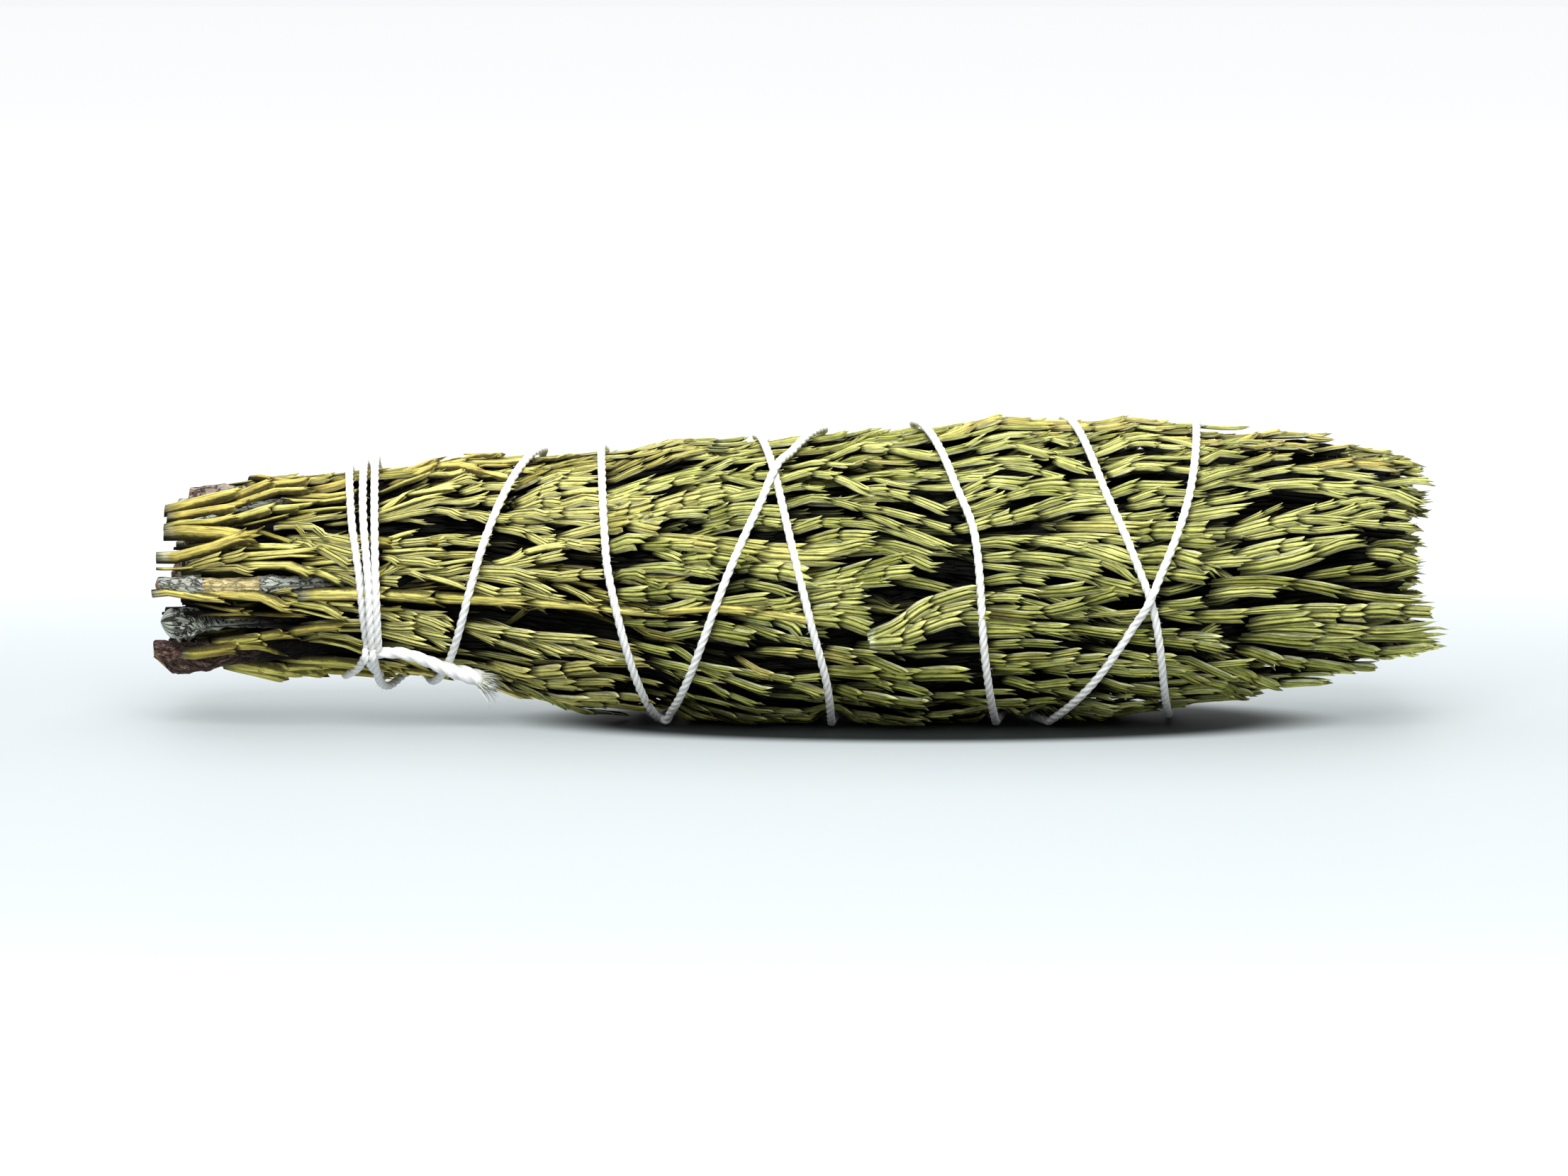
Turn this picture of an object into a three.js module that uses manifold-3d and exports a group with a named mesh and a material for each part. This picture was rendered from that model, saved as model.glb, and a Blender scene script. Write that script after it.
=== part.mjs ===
// An incense cedar smudge stick lying on its side: a tapered bundle of dried leafy sprays and
// woody stems, bound with one white cotton string that winds along it and back to its knot.
// Millimetres, +Z up. The cut stems are at -X, the trimmed leafy end at +X, the front faces -Y.
import * as THREE from "three";
import { mergeVertices } from "three/addons/utils/BufferGeometryUtils.js";
import Module from "manifold-3d";

const wasm = await Module();
wasm.setup();

const { lerp, degToRad, smoothstep } = THREE.MathUtils;
const FULL_TURN = 360;

// The bundle's outline seen from the front: along it, its top and its underside. The belly's
// underside reaches below the surface that it lies on, and is cut flat there.
const TOP = [
  [-107.5, 38.5],
  [-62, 44.2],
  [-15, 47.4],
  [25, 50.6],
  [62, 50.9],
  [84, 48.4],
  [97, 44.8],
  [107.5, 38.5],
];
const UNDERSIDE = [
  [-107.5, 8.3],
  [-62, 6.2],
  [-40, 2.6],
  [-15, -1.4],
  [25, -1.9],
  [58, -0.2],
  [82, 4.8],
  [97, 8.4],
  [107.5, 12],
];
const WIDTH_TO_HEIGHT = 1.06;

// Sprays wander round the bundle by this much, over this length, in so many lobes.
const WANDER = degToRad(4.5);
const WANDER_LENGTH = 74;
const WANDER_LOBES = 3;

// The string, and how far foliage under it is pressed in: fully near it, then less.
const STRING = 1.5;
const STRING_SIDES = 5;
const STRING_STEP = 18;
const GAP = 0.45;
const SKIN = 0.5;
const PRESS = STRING / 2 + GAP - 0.15;
const PRESS_NEAR = 6.2;
const PRESS_FAR = 17;
const LIFT_FAR = 11;
const CROSSING = { rise: 1.75, near: 0.6, far: 2.2 };
const STRING_CLEAR = 0.14;

// The string's route: how far it has gone round in degrees, and where it is along the bundle.
// 0 is the front and 90 the top; it goes down the front and up the back, first towards the
// tip and then back to the knot.
const ROUTE = [
  [-39, -71.6],
  [-77, -73.8],
  [-172, -75],
  [-262, -75],
  [-322, -73.8],
  [-355, -73.1],
  [-399, -72.3],
  [-442, -71.9],
  [-532, -73],
  [-622, -73.1],
  [-682, -71.9],
  [-715, -71.3],
  [-759, -70.6],
  [-804, -68.4],
  [-892, -52],
  [-982, -32.7],
  [-1062, -31.4],
  [-1089, -29.4],
  [-1128, -25.5],
  [-1157, -22.4],
  [-1252, -13.5],
  [-1342, -6.5],
  [-1405, -1.9],
  [-1444, 2],
  [-1476, 5.2],
  [-1517, 6.6],
  [-1612, 13.5],
  [-1702, 20.1],
  [-1755, 26.2],
  [-1778, 29.6],
  [-1821, 31.2],
  [-1852, 32.8],
  [-1882, 34.5],
  [-1972, 40],
  [-2062, 45.2],
  [-2116, 50.5],
  [-2146, 55.6],
  [-2171, 59.4],
  [-2212, 61.6],
  [-2242, 62.8],
  [-2332, 65.4],
  [-2422, 67.5],
  [-2481, 65.5],
  [-2519, 59.6],
  [-2552, 51.3],
  [-2587, 42.5],
  [-2692, 25],
  [-2782, 4.7],
  [-2830, -3.9],
  [-2874, -12],
  [-2913, -17.6],
  [-2957, -22.8],
  [-3052, -33.5],
  [-3142, -42.5],
  [-3223, -52.2],
  [-3279, -57.2],
  [-3322, -61],
  [-3412, -66],
  [-3502, -71.2],
  [-3595, -69.2],
  [-3639, -68.9],
];
const ROUTE_START = ROUTE[0][0];
const ROUTE_END = ROUTE[ROUTE.length - 1][0];
// Where the route is parted into tubes that don't cross themselves.
const ROUTE_PARTS = [
  [-39, -242],
  [-239, -582],
  [-579, -2425],
  [-2422, -3639],
];
// Each part is thicker than the last by this, so that their walls don't coincide.
const PART_STEP = 0.02;

// The knot, and the two string ends laid together that leave it: angle, place along, radius.
const KNOT = { angle: -39, x: -70.4, radius: 1.3, cord: 0.85, out: 0.9, lean: 0.25 };
const TAIL = [
  [-39, -71, 0.95],
  [-37.5, -66.2, 1.05],
  [-40.6, -62.6, 1.1],
  [-45, -59.6, 1.15],
  [-48.5, -56.6, 1.3],
  [-50.5, -53.8, 1.55],
  [-54, -51.8, 1.6],
];
const TAIL_OUT = 0.9;
const KNOT_STEPS = { around: 6, along: 10 };
const TAIL_STEPS = { along: 9, sides: 7 };

// A scale leaf pair on a branch, as shares of its length and half width, and its thickness.
const LEAF = { tip: 0.6, forward: 0.3, neck: 0.56, last: 0.67, thick: 1.5 };
// A branch's half width as a share of its lane's, and what is left of it at the branch's tip.
const BRANCH_WIDTH = 0.325;
const TAPER = 0.55;
// Side branches: from where to where along the spray, and where they run across the lane.
const SIDE_RUNS = [
  { from: 0.04, to: 0.49, across: -0.62 },
  { from: 0.14, to: 0.62, across: 0.62 },
  { from: 0.5, to: 0.96, across: -0.62 },
  { from: 0.58, to: 1.02, across: 0.62 },
];
const SIDE_BRANCH = { root: 0.28, bend: 0.3, leaf: 0.88, ragged: 0.06, deeper: 0.1 };
const LONGEST_OVER = 3;
// The branch tucked under the gaps between them.
const TUCKED = { from: 0.04, down: 0.13, to: 0.6, across: 0.3, depth: 1.9, leaf: 1.25 };
// How deep a spray's base lies under the tips of the sprays before it.
const BASE_DEPTH = SKIN + LEAF.thick + 3.6 * GAP;
const RISE = 7;

// Leafy sprays at the cut end: degrees that each covers at the cut, and past the first turns.
const BUTT_LANES = [
  { cut: [20, 68], full: [18, 70] },
  { cut: [87, 120], full: [70, 122] },
  { cut: [138, 173], full: [122, 176] },
  { cut: [189, 224], full: [176, 228] },
  { cut: [240, 270], full: [228, 270] },
  { cut: [270, 304], full: [270, 314] },
  { cut: [323, 333], full: [314, 342] },
  { cut: [350, 359], full: [342, 378] },
];
const BUTT_OPENS = [-82, -60];
const BUTT = { start: -105.5, end: -22, ragged: 7, leaf: 11 };
const BELLY = { count: 9, first: 270, start: -47, end: 46, ragged: 7, leaf: 11 };
const TIP = { count: 8, first: 232, start: 17, end: 103, ragged: 8, leaf: 10.9 };
// A lane narrower than this at the cut end starts as one broad axis, and branches later.
const NARROW_LANE = { half: 3.2, width: 2, first: 0.36 };

// Woody stems at the cut end: angle, thickest radius, first and last x.
const WOODY_STEMS = [
  { angle: 78, radius: 1.1, start: -102, end: -66 },
  { angle: 129, radius: 2, start: -105, end: -62 },
  { angle: 181, radius: 1.6, start: -106, end: -62 },
  { angle: 232, radius: 2.2, start: -103, end: -63 },
  { angle: 314, radius: 2.5, start: -107.5, end: -64 },
  { angle: 341.5, radius: 2.8, start: -106, end: -64 },
  { angle: 5, radius: 1.5, start: -106.6, end: -58 },
];
const WOODY = { sides: 6, steps: 7, taper: 0.55, swelling: 0.24, slant: 0.9, bark: 0.3 };
const WOODY_DIVES = [-80, -66];
const WOODY_DEPTH = 2.6;

// Stems and sprays inside: a middle one and a ring of six, as shares of the bundle's radius.
const INNER = { ring: 6, near: 0.4, far: 0.46, sides: 5, twist: 0.004 };
const INNER_OPENS = [-70, -45];
const INNER_STEM = { radius: 1.4, start: -106, ragged: 4, end: -52, steps: 4, uneven: 0.2 };
const INNER_SPRAY = { start: -51.6, end: 100, ragged: 5, leaf: 15.5, thick: 0.19 };
const INNER_LEAF = { neck: 0.62, tip: 0.62, forward: 0.28 };
// Slivers thinner than this are dropped from the joined solids.
const SLIVER = 0.02;
// What is cut off under the surface.
const SLAB = { length: 240, width: 80, height: 20 };

const COLOURS = {
  green: new THREE.MeshStandardMaterial({ color: 0x8f9146, roughness: 0.85 }),
  golden: new THREE.MeshStandardMaterial({ color: 0xa89140, roughness: 0.85 }),
  bark: new THREE.MeshStandardMaterial({ color: 0x7a665a, roughness: 0.95 }),
  cotton: new THREE.MeshStandardMaterial({ color: 0xf4f2ea, roughness: 0.95 }),
};

// A smooth curve through [place, value] points whose places rise or fall: cubic Hermite,
// with each slope taken from the points on both sides.
function smoothThrough(points, place) {
  const rising = points[1][0] > points[0][0] ? 1 : -1;
  const last = points.length - 1;
  let i = 0;
  while (i < last - 1 && (place - points[i + 1][0]) * rising > 0) {
    i += 1;
  }
  const slope = (j) => {
    const [xa, ya] = points[Math.max(j - 1, 0)];
    const [xb, yb] = points[Math.min(j + 1, last)];
    return (yb - ya) / (xb - xa);
  };
  const [x0, y0] = points[i];
  const [x1, y1] = points[i + 1];
  const span = x1 - x0;
  const t = THREE.MathUtils.clamp((place - x0) / span, 0, 1);
  const a = (1 + 2 * t) * (1 - t) ** 2 * y0 + t * t * (3 - 2 * t) * y1;
  const b = t * (1 - t) ** 2 * slope(i) - t * t * (1 - t) * slope(i + 1);
  return a + b * span;
}

// A fixed fraction from 0 to 1 for a numbered item, evenly spread and the same each run.
function vary(a, b) {
  const mixed = a * 0.61803399 + b * 0.75487767;
  return mixed - Math.floor(mixed);
}

// The bundle's cross-section at x: its middle height and its half height and half width.
function section(x) {
  const top = smoothThrough(TOP, x);
  const underside = smoothThrough(UNDERSIDE, x);
  const half = (top - underside) / 2;
  return { middle: (top + underside) / 2, half, side: half * WIDTH_TO_HEIGHT };
}

function radiusAt(x) {
  const { half, side } = section(x);
  return (half + side) / 2;
}

// How far along the bundle the nearest turn of the string is from a place.
function stringBeside(x, angle) {
  const degrees = THREE.MathUtils.radToDeg(angle);
  let turned = degrees - FULL_TURN * Math.ceil((degrees - ROUTE_START) / FULL_TURN);
  let nearest = Infinity;
  while (turned >= ROUTE_END) {
    nearest = Math.min(nearest, Math.abs(x - smoothThrough(ROUTE, turned)));
    turned -= FULL_TURN;
  }
  return nearest;
}

// How an angle round the bundle swings to and fro along it. Neighbours swing together.
function wandered(x, angle) {
  return angle + WANDER * Math.sin((2 * Math.PI * x) / WANDER_LENGTH + WANDER_LOBES * angle);
}

// A point of the bundle: x along it, angle round it in radians, and depth under its outline.
function place(x, angle, depth) {
  const { middle, half, side } = section(x);
  const under = smoothstep(-Math.sin(angle), 0.78, 0.98);
  const lift = under * Math.max(0, STRING + GAP - (middle - half + SKIN + PRESS));
  const nearest = stringBeside(x, angle);
  const pressed = PRESS * (1 - smoothstep(nearest, PRESS_NEAR, PRESS_FAR));
  const lifted = lift * (1 - smoothstep(nearest, PRESS_NEAR, LIFT_FAR));
  const inward = depth + pressed + lifted;
  return new THREE.Vector3(
    x,
    -(side - inward) * Math.cos(angle),
    middle + (half - inward) * Math.sin(angle),
  );
}

// A closed body through rings of points. A last ring of one point is a tip.
function bodyThrough(rings) {
  const sides = rings[0].length;
  const positions = rings.flat().flatMap((p) => [p.x, p.y, p.z]);
  const faces = [];
  rings.slice(1).forEach((ring, i) => {
    const low = i * sides;
    const high = low + sides;
    for (let j = 0; j < sides; j += 1) {
      const k = (j + 1) % sides;
      if (ring.length === 1) {
        faces.push(low + j, low + k, high);
      } else {
        faces.push(low + j, low + k, high + k, low + j, high + k, high + j);
      }
    }
  });
  for (let j = 1; j < sides - 1; j += 1) {
    faces.push(0, j + 1, j);
    if (rings[rings.length - 1].length > 1) {
      const end = (rings.length - 1) * sides;
      faces.push(end, end + j, end + j + 1);
    }
  }
  const geometry = new THREE.BufferGeometry();
  geometry.setAttribute("position", new THREE.Float32BufferAttribute(positions, 3));
  geometry.setIndex(faces);
  return geometry;
}

// A solid for joining and cutting.
function solid(geometry) {
  const bare = geometry.clone();
  bare.deleteAttribute("normal");
  bare.deleteAttribute("uv");
  const merged = mergeVertices(bare, 1e-4);
  return new wasm.Manifold(
    new wasm.Mesh({
      numProp: 3,
      vertProperties: new Float32Array(merged.attributes.position.array),
      triVerts: new Uint32Array(merged.index.array),
    }),
  );
}

// The geometry of a joined solid, without the slivers that joining leaves.
function geometryOf(body) {
  const mesh = body.simplify(SLIVER).getMesh();
  const geometry = new THREE.BufferGeometry();
  geometry.setAttribute("position", new THREE.BufferAttribute(mesh.vertProperties, mesh.numProp));
  geometry.setIndex(new THREE.BufferAttribute(mesh.triVerts, 1));
  return geometry;
}

function joined(geometries) {
  return geometries.map(solid).reduce((whole, piece) => whole.add(piece));
}

// A tier of sprays that share the bundle's girth: each lane gives its middle and half angle.
function evenLanes(tier) {
  const half = 180 / tier.count;
  return Array.from({ length: tier.count }, (unused, i) => ({
    middle: () => degToRad(tier.first + 2 * half * i),
    half: () => degToRad(half),
  }));
}

function buttLanes() {
  return BUTT_LANES.map(({ cut, full }) => {
    const edge = (side, x) => lerp(cut[side], full[side], smoothstep(x, ...BUTT_OPENS));
    return {
      middle: (x) => degToRad((edge(0, x) + edge(1, x)) / 2),
      half: (x) => degToRad((edge(1, x) - edge(0, x)) / 2),
    };
  });
}

// A point of a lane: across is -1 to 1 over the lane's width, beside is in millimetres.
function lanePoint(lane, x, across, beside, depth) {
  const angle = lane.middle(x) + across * lane.half(x) + beside / radiusAt(x);
  return place(x, wandered(x, angle), depth);
}

// A leafy branch: pairs of scale leaves flare from a narrow neck to pointed tips that lean
// forward, with a keel along the middle, and the last pair ends in a point.
function branch(lane, { start, end, from, to, bend, width, depth, leaf }) {
  const count = Math.max(2, Math.round((end - start) / leaf));
  const step = 1 / count;
  const ring = (at, forward, share) => {
    const point = (u, side, lower) => {
      const x = lerp(start, end, Math.min(u, 1));
      const across = lerp(from, to, smoothstep(u, 0, bend));
      const wide = width * lane.half(x) * radiusAt(x) * lerp(1, TAPER, u * u) * share;
      return lanePoint(lane, x, across, side * wide, depth(x) + lower);
    };
    return [
      point(at + forward, 1, LEAF.thick),
      point(at, 0, 0),
      point(at + forward, -1, LEAF.thick),
    ];
  };
  const rings = [];
  for (let i = 0; i < count; i += 1) {
    rings.push(ring(i * step, 0, LEAF.neck));
    if (i < count - 1) {
      rings.push(ring((i + LEAF.tip) * step, LEAF.forward * step, 1));
    }
  }
  rings.push(ring((count - 0.5) * step, 0, LEAF.last));
  rings.push([lanePoint(lane, end, to, 0, depth(end) + LEAF.thick / 2)]);
  return bodyThrough(rings);
}

// A spray: a leafy axis, side branches that leave it left and right in turn and then run
// beside it, and a shorter branch tucked under the gap between them.
function spray(lane, tier, index, depth) {
  const at = (u) => lerp(tier.start, tier.end, u);
  const end = tier.end + tier.ragged * (vary(index, 1) - 0.5);
  const narrow = lane.half(tier.start) * radiusAt(tier.start) < NARROW_LANE.half;
  const axis = branch(lane, {
    start: tier.start,
    end,
    from: 0,
    to: 0.1 * (vary(index, 2) - 0.5),
    bend: 1,
    width: narrow ? NARROW_LANE.width * BRANCH_WIDTH : BRANCH_WIDTH,
    depth,
    leaf: tier.leaf,
  });
  const sides = SIDE_RUNS.map((run, k) => {
    const first = narrow ? Math.max(run.from, NARROW_LANE.first + 0.05 * k) : run.from;
    const last = run.to + SIDE_BRANCH.ragged * (vary(index, k + 3) - 0.5);
    return branch(lane, {
      start: at(first),
      end: Math.min(at(Math.max(last, first + 0.3)), end + LONGEST_OVER),
      from: SIDE_BRANCH.root * run.across,
      to: run.across,
      bend: SIDE_BRANCH.bend,
      width: BRANCH_WIDTH,
      depth: (x) => depth(x) + SIDE_BRANCH.deeper * (k + 1),
      leaf: tier.leaf * SIDE_BRANCH.leaf,
    });
  });
  if (narrow) {
    return joined([axis, ...sides]);
  }
  const across = index % 2 ? TUCKED.across : -TUCKED.across;
  const down = (x) => TUCKED.depth * smoothstep(x, at(TUCKED.from), at(TUCKED.down));
  const tucked = branch(lane, {
    start: at(TUCKED.from),
    end: at(TUCKED.to),
    from: 0.1 * across,
    to: across,
    bend: 0.5,
    width: BRANCH_WIDTH,
    depth: (x) => depth(x) + down(x) + 0.1,
    leaf: tier.leaf * TUCKED.leaf,
  });
  return joined([axis, ...sides, tucked]);
}

// How deep a tier lies: under the tips before it, and then at the skin.
function depthAfter(previousEnd) {
  return (x) => lerp(BASE_DEPTH, SKIN, smoothstep(x, previousEnd, previousEnd + RISE));
}

// What would reach below the surface is cut off flat.
function cutFlat(body) {
  const slab = new THREE.BoxGeometry(SLAB.length, SLAB.width, SLAB.height);
  slab.translate(0, 0, -SLAB.height / 2);
  return body.subtract(solid(slab));
}

// A woody stem with small swellings and a slanting cut. It dives under the foliage.
function woodyStem({ angle, radius, start, end }, index) {
  const rings = [];
  for (let i = 0; i <= WOODY.steps; i += 1) {
    const along = lerp(start, end, i / WOODY.steps);
    const dive = smoothstep(along, ...WOODY_DIVES);
    const swelling = 1 + WOODY.swelling * (vary(index, i) - 0.5);
    const thick = radius * lerp(1, WOODY.taper, dive) * swelling;
    const deepest = radius * (1 + WOODY.swelling / 2) + WOODY.bark + WOODY_DEPTH * dive;
    const ring = [];
    for (let j = 0; j < WOODY.sides; j += 1) {
      const round = (2 * Math.PI * j) / WOODY.sides;
      const slant = i === 0 ? WOODY.slant * thick * (1 + Math.sin(round + index)) : 0;
      const x = along + slant;
      const turn = degToRad(angle) - (thick * Math.sin(round)) / radiusAt(x);
      ring.push(place(x, wandered(x, turn), deepest - thick * Math.cos(round)));
    }
    rings.push(ring);
  }
  return bodyThrough(rings);
}

// Where an inner stem or spray runs: a share of the bundle's radius out from its middle.
function innerPoint(index, x, sideways, outward) {
  const { middle, half } = section(x);
  const share = index === 0 ? 0 : lerp(INNER.near, INNER.far, smoothstep(x, ...INNER_OPENS));
  const angle = (2 * Math.PI * index) / INNER.ring + INNER.twist * x;
  const out = share * half + outward;
  return new THREE.Vector3(
    x,
    -out * Math.cos(angle) + sideways * Math.sin(angle),
    middle + out * Math.sin(angle) + sideways * Math.cos(angle),
  );
}

function innerRing(index, x, radius, forward) {
  return Array.from({ length: INNER.sides }, (unused, j) => {
    const round = (2 * Math.PI * (j + index / 2)) / INNER.sides;
    const reach = x + (j % 2) * forward;
    return innerPoint(index, reach, -radius * Math.sin(round), radius * Math.cos(round));
  });
}

function innerStem(index) {
  const start = INNER_STEM.start + INNER_STEM.ragged * vary(index, 5);
  const rings = [];
  for (let i = 0; i <= INNER_STEM.steps; i += 1) {
    const x = lerp(start, INNER_STEM.end, i / INNER_STEM.steps);
    const uneven = 1 + INNER_STEM.uneven * (vary(index, i) - 0.5);
    rings.push(innerRing(index, x, INNER_STEM.radius * uneven, 0));
  }
  return bodyThrough(rings);
}

// The leafy length of an inner spray: full whorls of leaves one behind the other.
function innerSpray(index) {
  const end = INNER_SPRAY.end + INNER_SPRAY.ragged * (vary(index, 6) - 0.5);
  const count = Math.round((end - INNER_SPRAY.start) / INNER_SPRAY.leaf);
  const leaf = (end - INNER_SPRAY.start) / count;
  const rings = [];
  for (let i = 0; i < count; i += 1) {
    const x = INNER_SPRAY.start + i * leaf;
    const full = INNER_SPRAY.thick * section(x).half;
    const neck = i === 0 ? INNER_STEM.radius : INNER_LEAF.neck * full;
    rings.push(innerRing(index, x, neck, 0));
    rings.push(innerRing(index, x + INNER_LEAF.tip * leaf, full, INNER_LEAF.forward * leaf));
  }
  rings.push([innerPoint(index, end + 2, 0, 0)]);
  return bodyThrough(rings);
}

// A point at a plain depth, not pressed, that stays its own radius above the surface.
function restOn(x, degrees, depth, radius) {
  const { middle, half, side } = section(x);
  const angle = degToRad(degrees);
  const z = middle + (half - depth) * Math.sin(angle);
  return new THREE.Vector3(x, -(side - depth) * Math.cos(angle), Math.max(z, radius));
}

// The string's centre where it has turned so far. It lies in the foliage that it presses, and
// passes over its own earlier turns.
function stringCentre(turned) {
  const x = smoothThrough(ROUTE, turned);
  let rise = 0;
  for (let earlier = turned + FULL_TURN; earlier <= ROUTE_START; earlier += FULL_TURN) {
    const apart = Math.abs(x - smoothThrough(ROUTE, earlier));
    rise = Math.max(rise, CROSSING.rise * (1 - smoothstep(apart, CROSSING.near, CROSSING.far)));
  }
  const depth = SKIN + PRESS - GAP - STRING / 2 - rise;
  return restOn(x, turned, depth, STRING / 2 + STRING_CLEAR);
}

// A round cord along a curve, with a radius for each share of its length.
function cord(points, radiusOf, steps, sides) {
  const curve = new THREE.CatmullRomCurve3(points, false, "centripetal");
  const frames = curve.computeFrenetFrames(steps, false);
  const rings = [];
  for (let i = 0; i <= steps; i += 1) {
    const centre = curve.getPointAt(i / steps);
    const radius = radiusOf(i / steps);
    const ring = [];
    for (let j = 0; j < sides; j += 1) {
      const round = (2 * Math.PI * j) / sides;
      const spoke = frames.normals[i].clone().multiplyScalar(radius * Math.cos(round));
      spoke.addScaledVector(frames.binormals[i], radius * Math.sin(round));
      ring.push(spoke.add(centre));
    }
    rings.push(ring);
  }
  return bodyThrough(rings);
}

function stringPart([from, to], index) {
  const steps = Math.round((from - to) / STRING_STEP);
  const points = [];
  for (let i = 0; i <= steps * 2; i += 1) {
    points.push(stringCentre(lerp(from, to, i / (steps * 2))));
  }
  const radius = STRING / 2 + PART_STEP * index;
  return cord(points, () => radius, steps, STRING_SIDES);
}

function knotAndTail() {
  const centre = restOn(KNOT.x, KNOT.angle, -KNOT.out, STRING);
  const loop = new THREE.TorusGeometry(KNOT.radius, KNOT.cord, KNOT_STEPS.around, KNOT_STEPS.along);
  loop.rotateY(Math.PI / 2 + KNOT.lean);
  loop.translate(centre.x, centre.y, centre.z);
  const points = TAIL.map(([degrees, x]) => restOn(x, degrees, -TAIL_OUT, STRING));
  const radii = TAIL.map(([, , radius], i) => [i / (TAIL.length - 1), radius]);
  const tail = cord(points, (u) => smoothThrough(radii, u), TAIL_STEPS.along, TAIL_STEPS.sides);
  return [loop, tail];
}

const stick = new THREE.Group();

function addPiece(name, geometry, material) {
  const piece = new THREE.Mesh(geometry, material);
  piece.name = name;
  stick.add(piece);
}

buttLanes().forEach((lane, i) => {
  const body = spray(lane, BUTT, i, () => SKIN);
  addPiece("butt_spray_" + (i + 1), geometryOf(body), COLOURS.golden);
});
evenLanes(BELLY).forEach((lane, i) => {
  const body = spray(lane, BELLY, i + 10, depthAfter(BUTT.end + BUTT.ragged / 3));
  addPiece("belly_spray_" + (i + 1), geometryOf(cutFlat(body)), COLOURS.green);
});
evenLanes(TIP).forEach((lane, i) => {
  const body = spray(lane, TIP, i + 20, depthAfter(BELLY.end + BELLY.ragged / 3));
  addPiece("tip_spray_" + (i + 1), geometryOf(cutFlat(body)), COLOURS.green);
});
WOODY_STEMS.forEach((stem, i) => {
  addPiece("woody_stem_" + (i + 1), woodyStem(stem, i), COLOURS.bark);
});
for (let i = 0; i <= INNER.ring; i += 1) {
  addPiece("inner_stem_" + (i + 1), innerStem(i), COLOURS.bark);
  addPiece("inner_spray_" + (i + 1), innerSpray(i), COLOURS.green);
}
const strands = [...ROUTE_PARTS.map(stringPart), ...knotAndTail()];
addPiece("string", geometryOf(joined(strands)), COLOURS.cotton);

export default stick;
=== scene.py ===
"""An incense cedar smudge stick: dried leafy sprays and woody stems bound with white cotton string.

Shapes are worked out in millimetres, in arrays, and stored in metres. A point of the bundle is
given by x along it, the angle round it (0 at the front, a quarter turn at the top) and the depth
under its outline.
"""
import math

import bpy
import numpy as np
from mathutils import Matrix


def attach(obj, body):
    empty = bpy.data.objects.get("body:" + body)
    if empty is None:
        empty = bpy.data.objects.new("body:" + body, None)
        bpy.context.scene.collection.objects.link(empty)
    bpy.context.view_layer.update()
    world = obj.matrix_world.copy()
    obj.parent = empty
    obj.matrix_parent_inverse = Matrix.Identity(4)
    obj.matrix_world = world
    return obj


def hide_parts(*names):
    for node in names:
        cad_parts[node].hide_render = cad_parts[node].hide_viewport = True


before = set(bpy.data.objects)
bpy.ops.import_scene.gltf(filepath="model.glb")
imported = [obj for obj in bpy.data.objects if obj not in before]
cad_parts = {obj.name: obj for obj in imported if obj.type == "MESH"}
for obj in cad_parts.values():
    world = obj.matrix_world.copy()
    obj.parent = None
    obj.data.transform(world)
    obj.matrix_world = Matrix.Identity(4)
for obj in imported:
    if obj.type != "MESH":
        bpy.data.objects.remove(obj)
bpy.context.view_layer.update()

MM = 0.001
TURN = 2 * math.pi

# The bundle's outline: along it, its top and its underside.
TOP = [
    [-107.5, 38.5], [-62, 44.2], [-15, 47.4], [25, 50.6],
    [62, 50.9], [84, 48.6], [97, 46.2], [107.5, 42.2],
]
UNDERSIDE = [
    [-107.5, 8.3], [-62, 6.2], [-40, 2.6], [-15, -1.4], [25, -1.9],
    [58, -0.2], [82, 4.8], [97, 8.4], [107.5, 12],
]
WIDTH_TO_HEIGHT = 1.06
WANDER = math.radians(4.5)
WANDER_LENGTH = 74
WANDER_LOBES = 3

# The string, and how far foliage under it is pressed in.
STRING = 1.5
GAP = 0.45
SKIN = 0.5
PRESS = STRING / 2 + GAP - 0.15
PRESS_NEAR = 4
PRESS_FAR = 15
LIFT_NEAR = 0.8
LIFT_FAR = 4
CROSSING_RISE = 1.5
CROSSING_NEAR = 0.5
CROSSING_FAR = 4
STRING_CLEAR = 0.14

# The string's route: how far it has gone round in degrees, and where it is along the bundle.
ROUTE = [
    [-39, -71.2], [-58, -73], [-80, -75.6], [-172, -75.4], [-262, -75], [-322, -73.9], [-355, -72.5],
    [-399, -71.3], [-442, -69.4], [-532, -72.6], [-622, -72.4], [-682, -71.9], [-715, -71],
    [-759, -70.3], [-804, -68], [-892, -52], [-982, -32.7], [-1062, -31.4],
    [-1089, -29.4], [-1128, -25.5], [-1157, -22.4], [-1252, -13.5], [-1342, -6.5],
    [-1405, -1.9], [-1444, 2], [-1476, 5.2], [-1517, 6.6], [-1612, 13.5], [-1702, 20.1],
    [-1755, 26.2], [-1778, 29.6], [-1821, 31.2], [-1852, 32.8], [-1882, 34.5], [-1972, 40],
    [-2062, 45.2], [-2116, 50.5], [-2146, 55.6], [-2171, 59.4], [-2212, 61.6],
    [-2242, 62.8], [-2332, 65.4], [-2422, 67.5], [-2481, 65.5], [-2519, 59.6],
    [-2552, 51.3], [-2587, 42.5], [-2692, 25], [-2782, 4.7], [-2830, -3.9],
    [-2874, -12], [-2913, -17.6], [-2957, -22.8], [-3052, -33.5], [-3142, -42.5],
    [-3223, -52.2], [-3279, -57.2], [-3322, -61], [-3412, -66], [-3502, -70.5],
    [-3595, -69.7], [-3639, -69.4],
]
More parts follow.
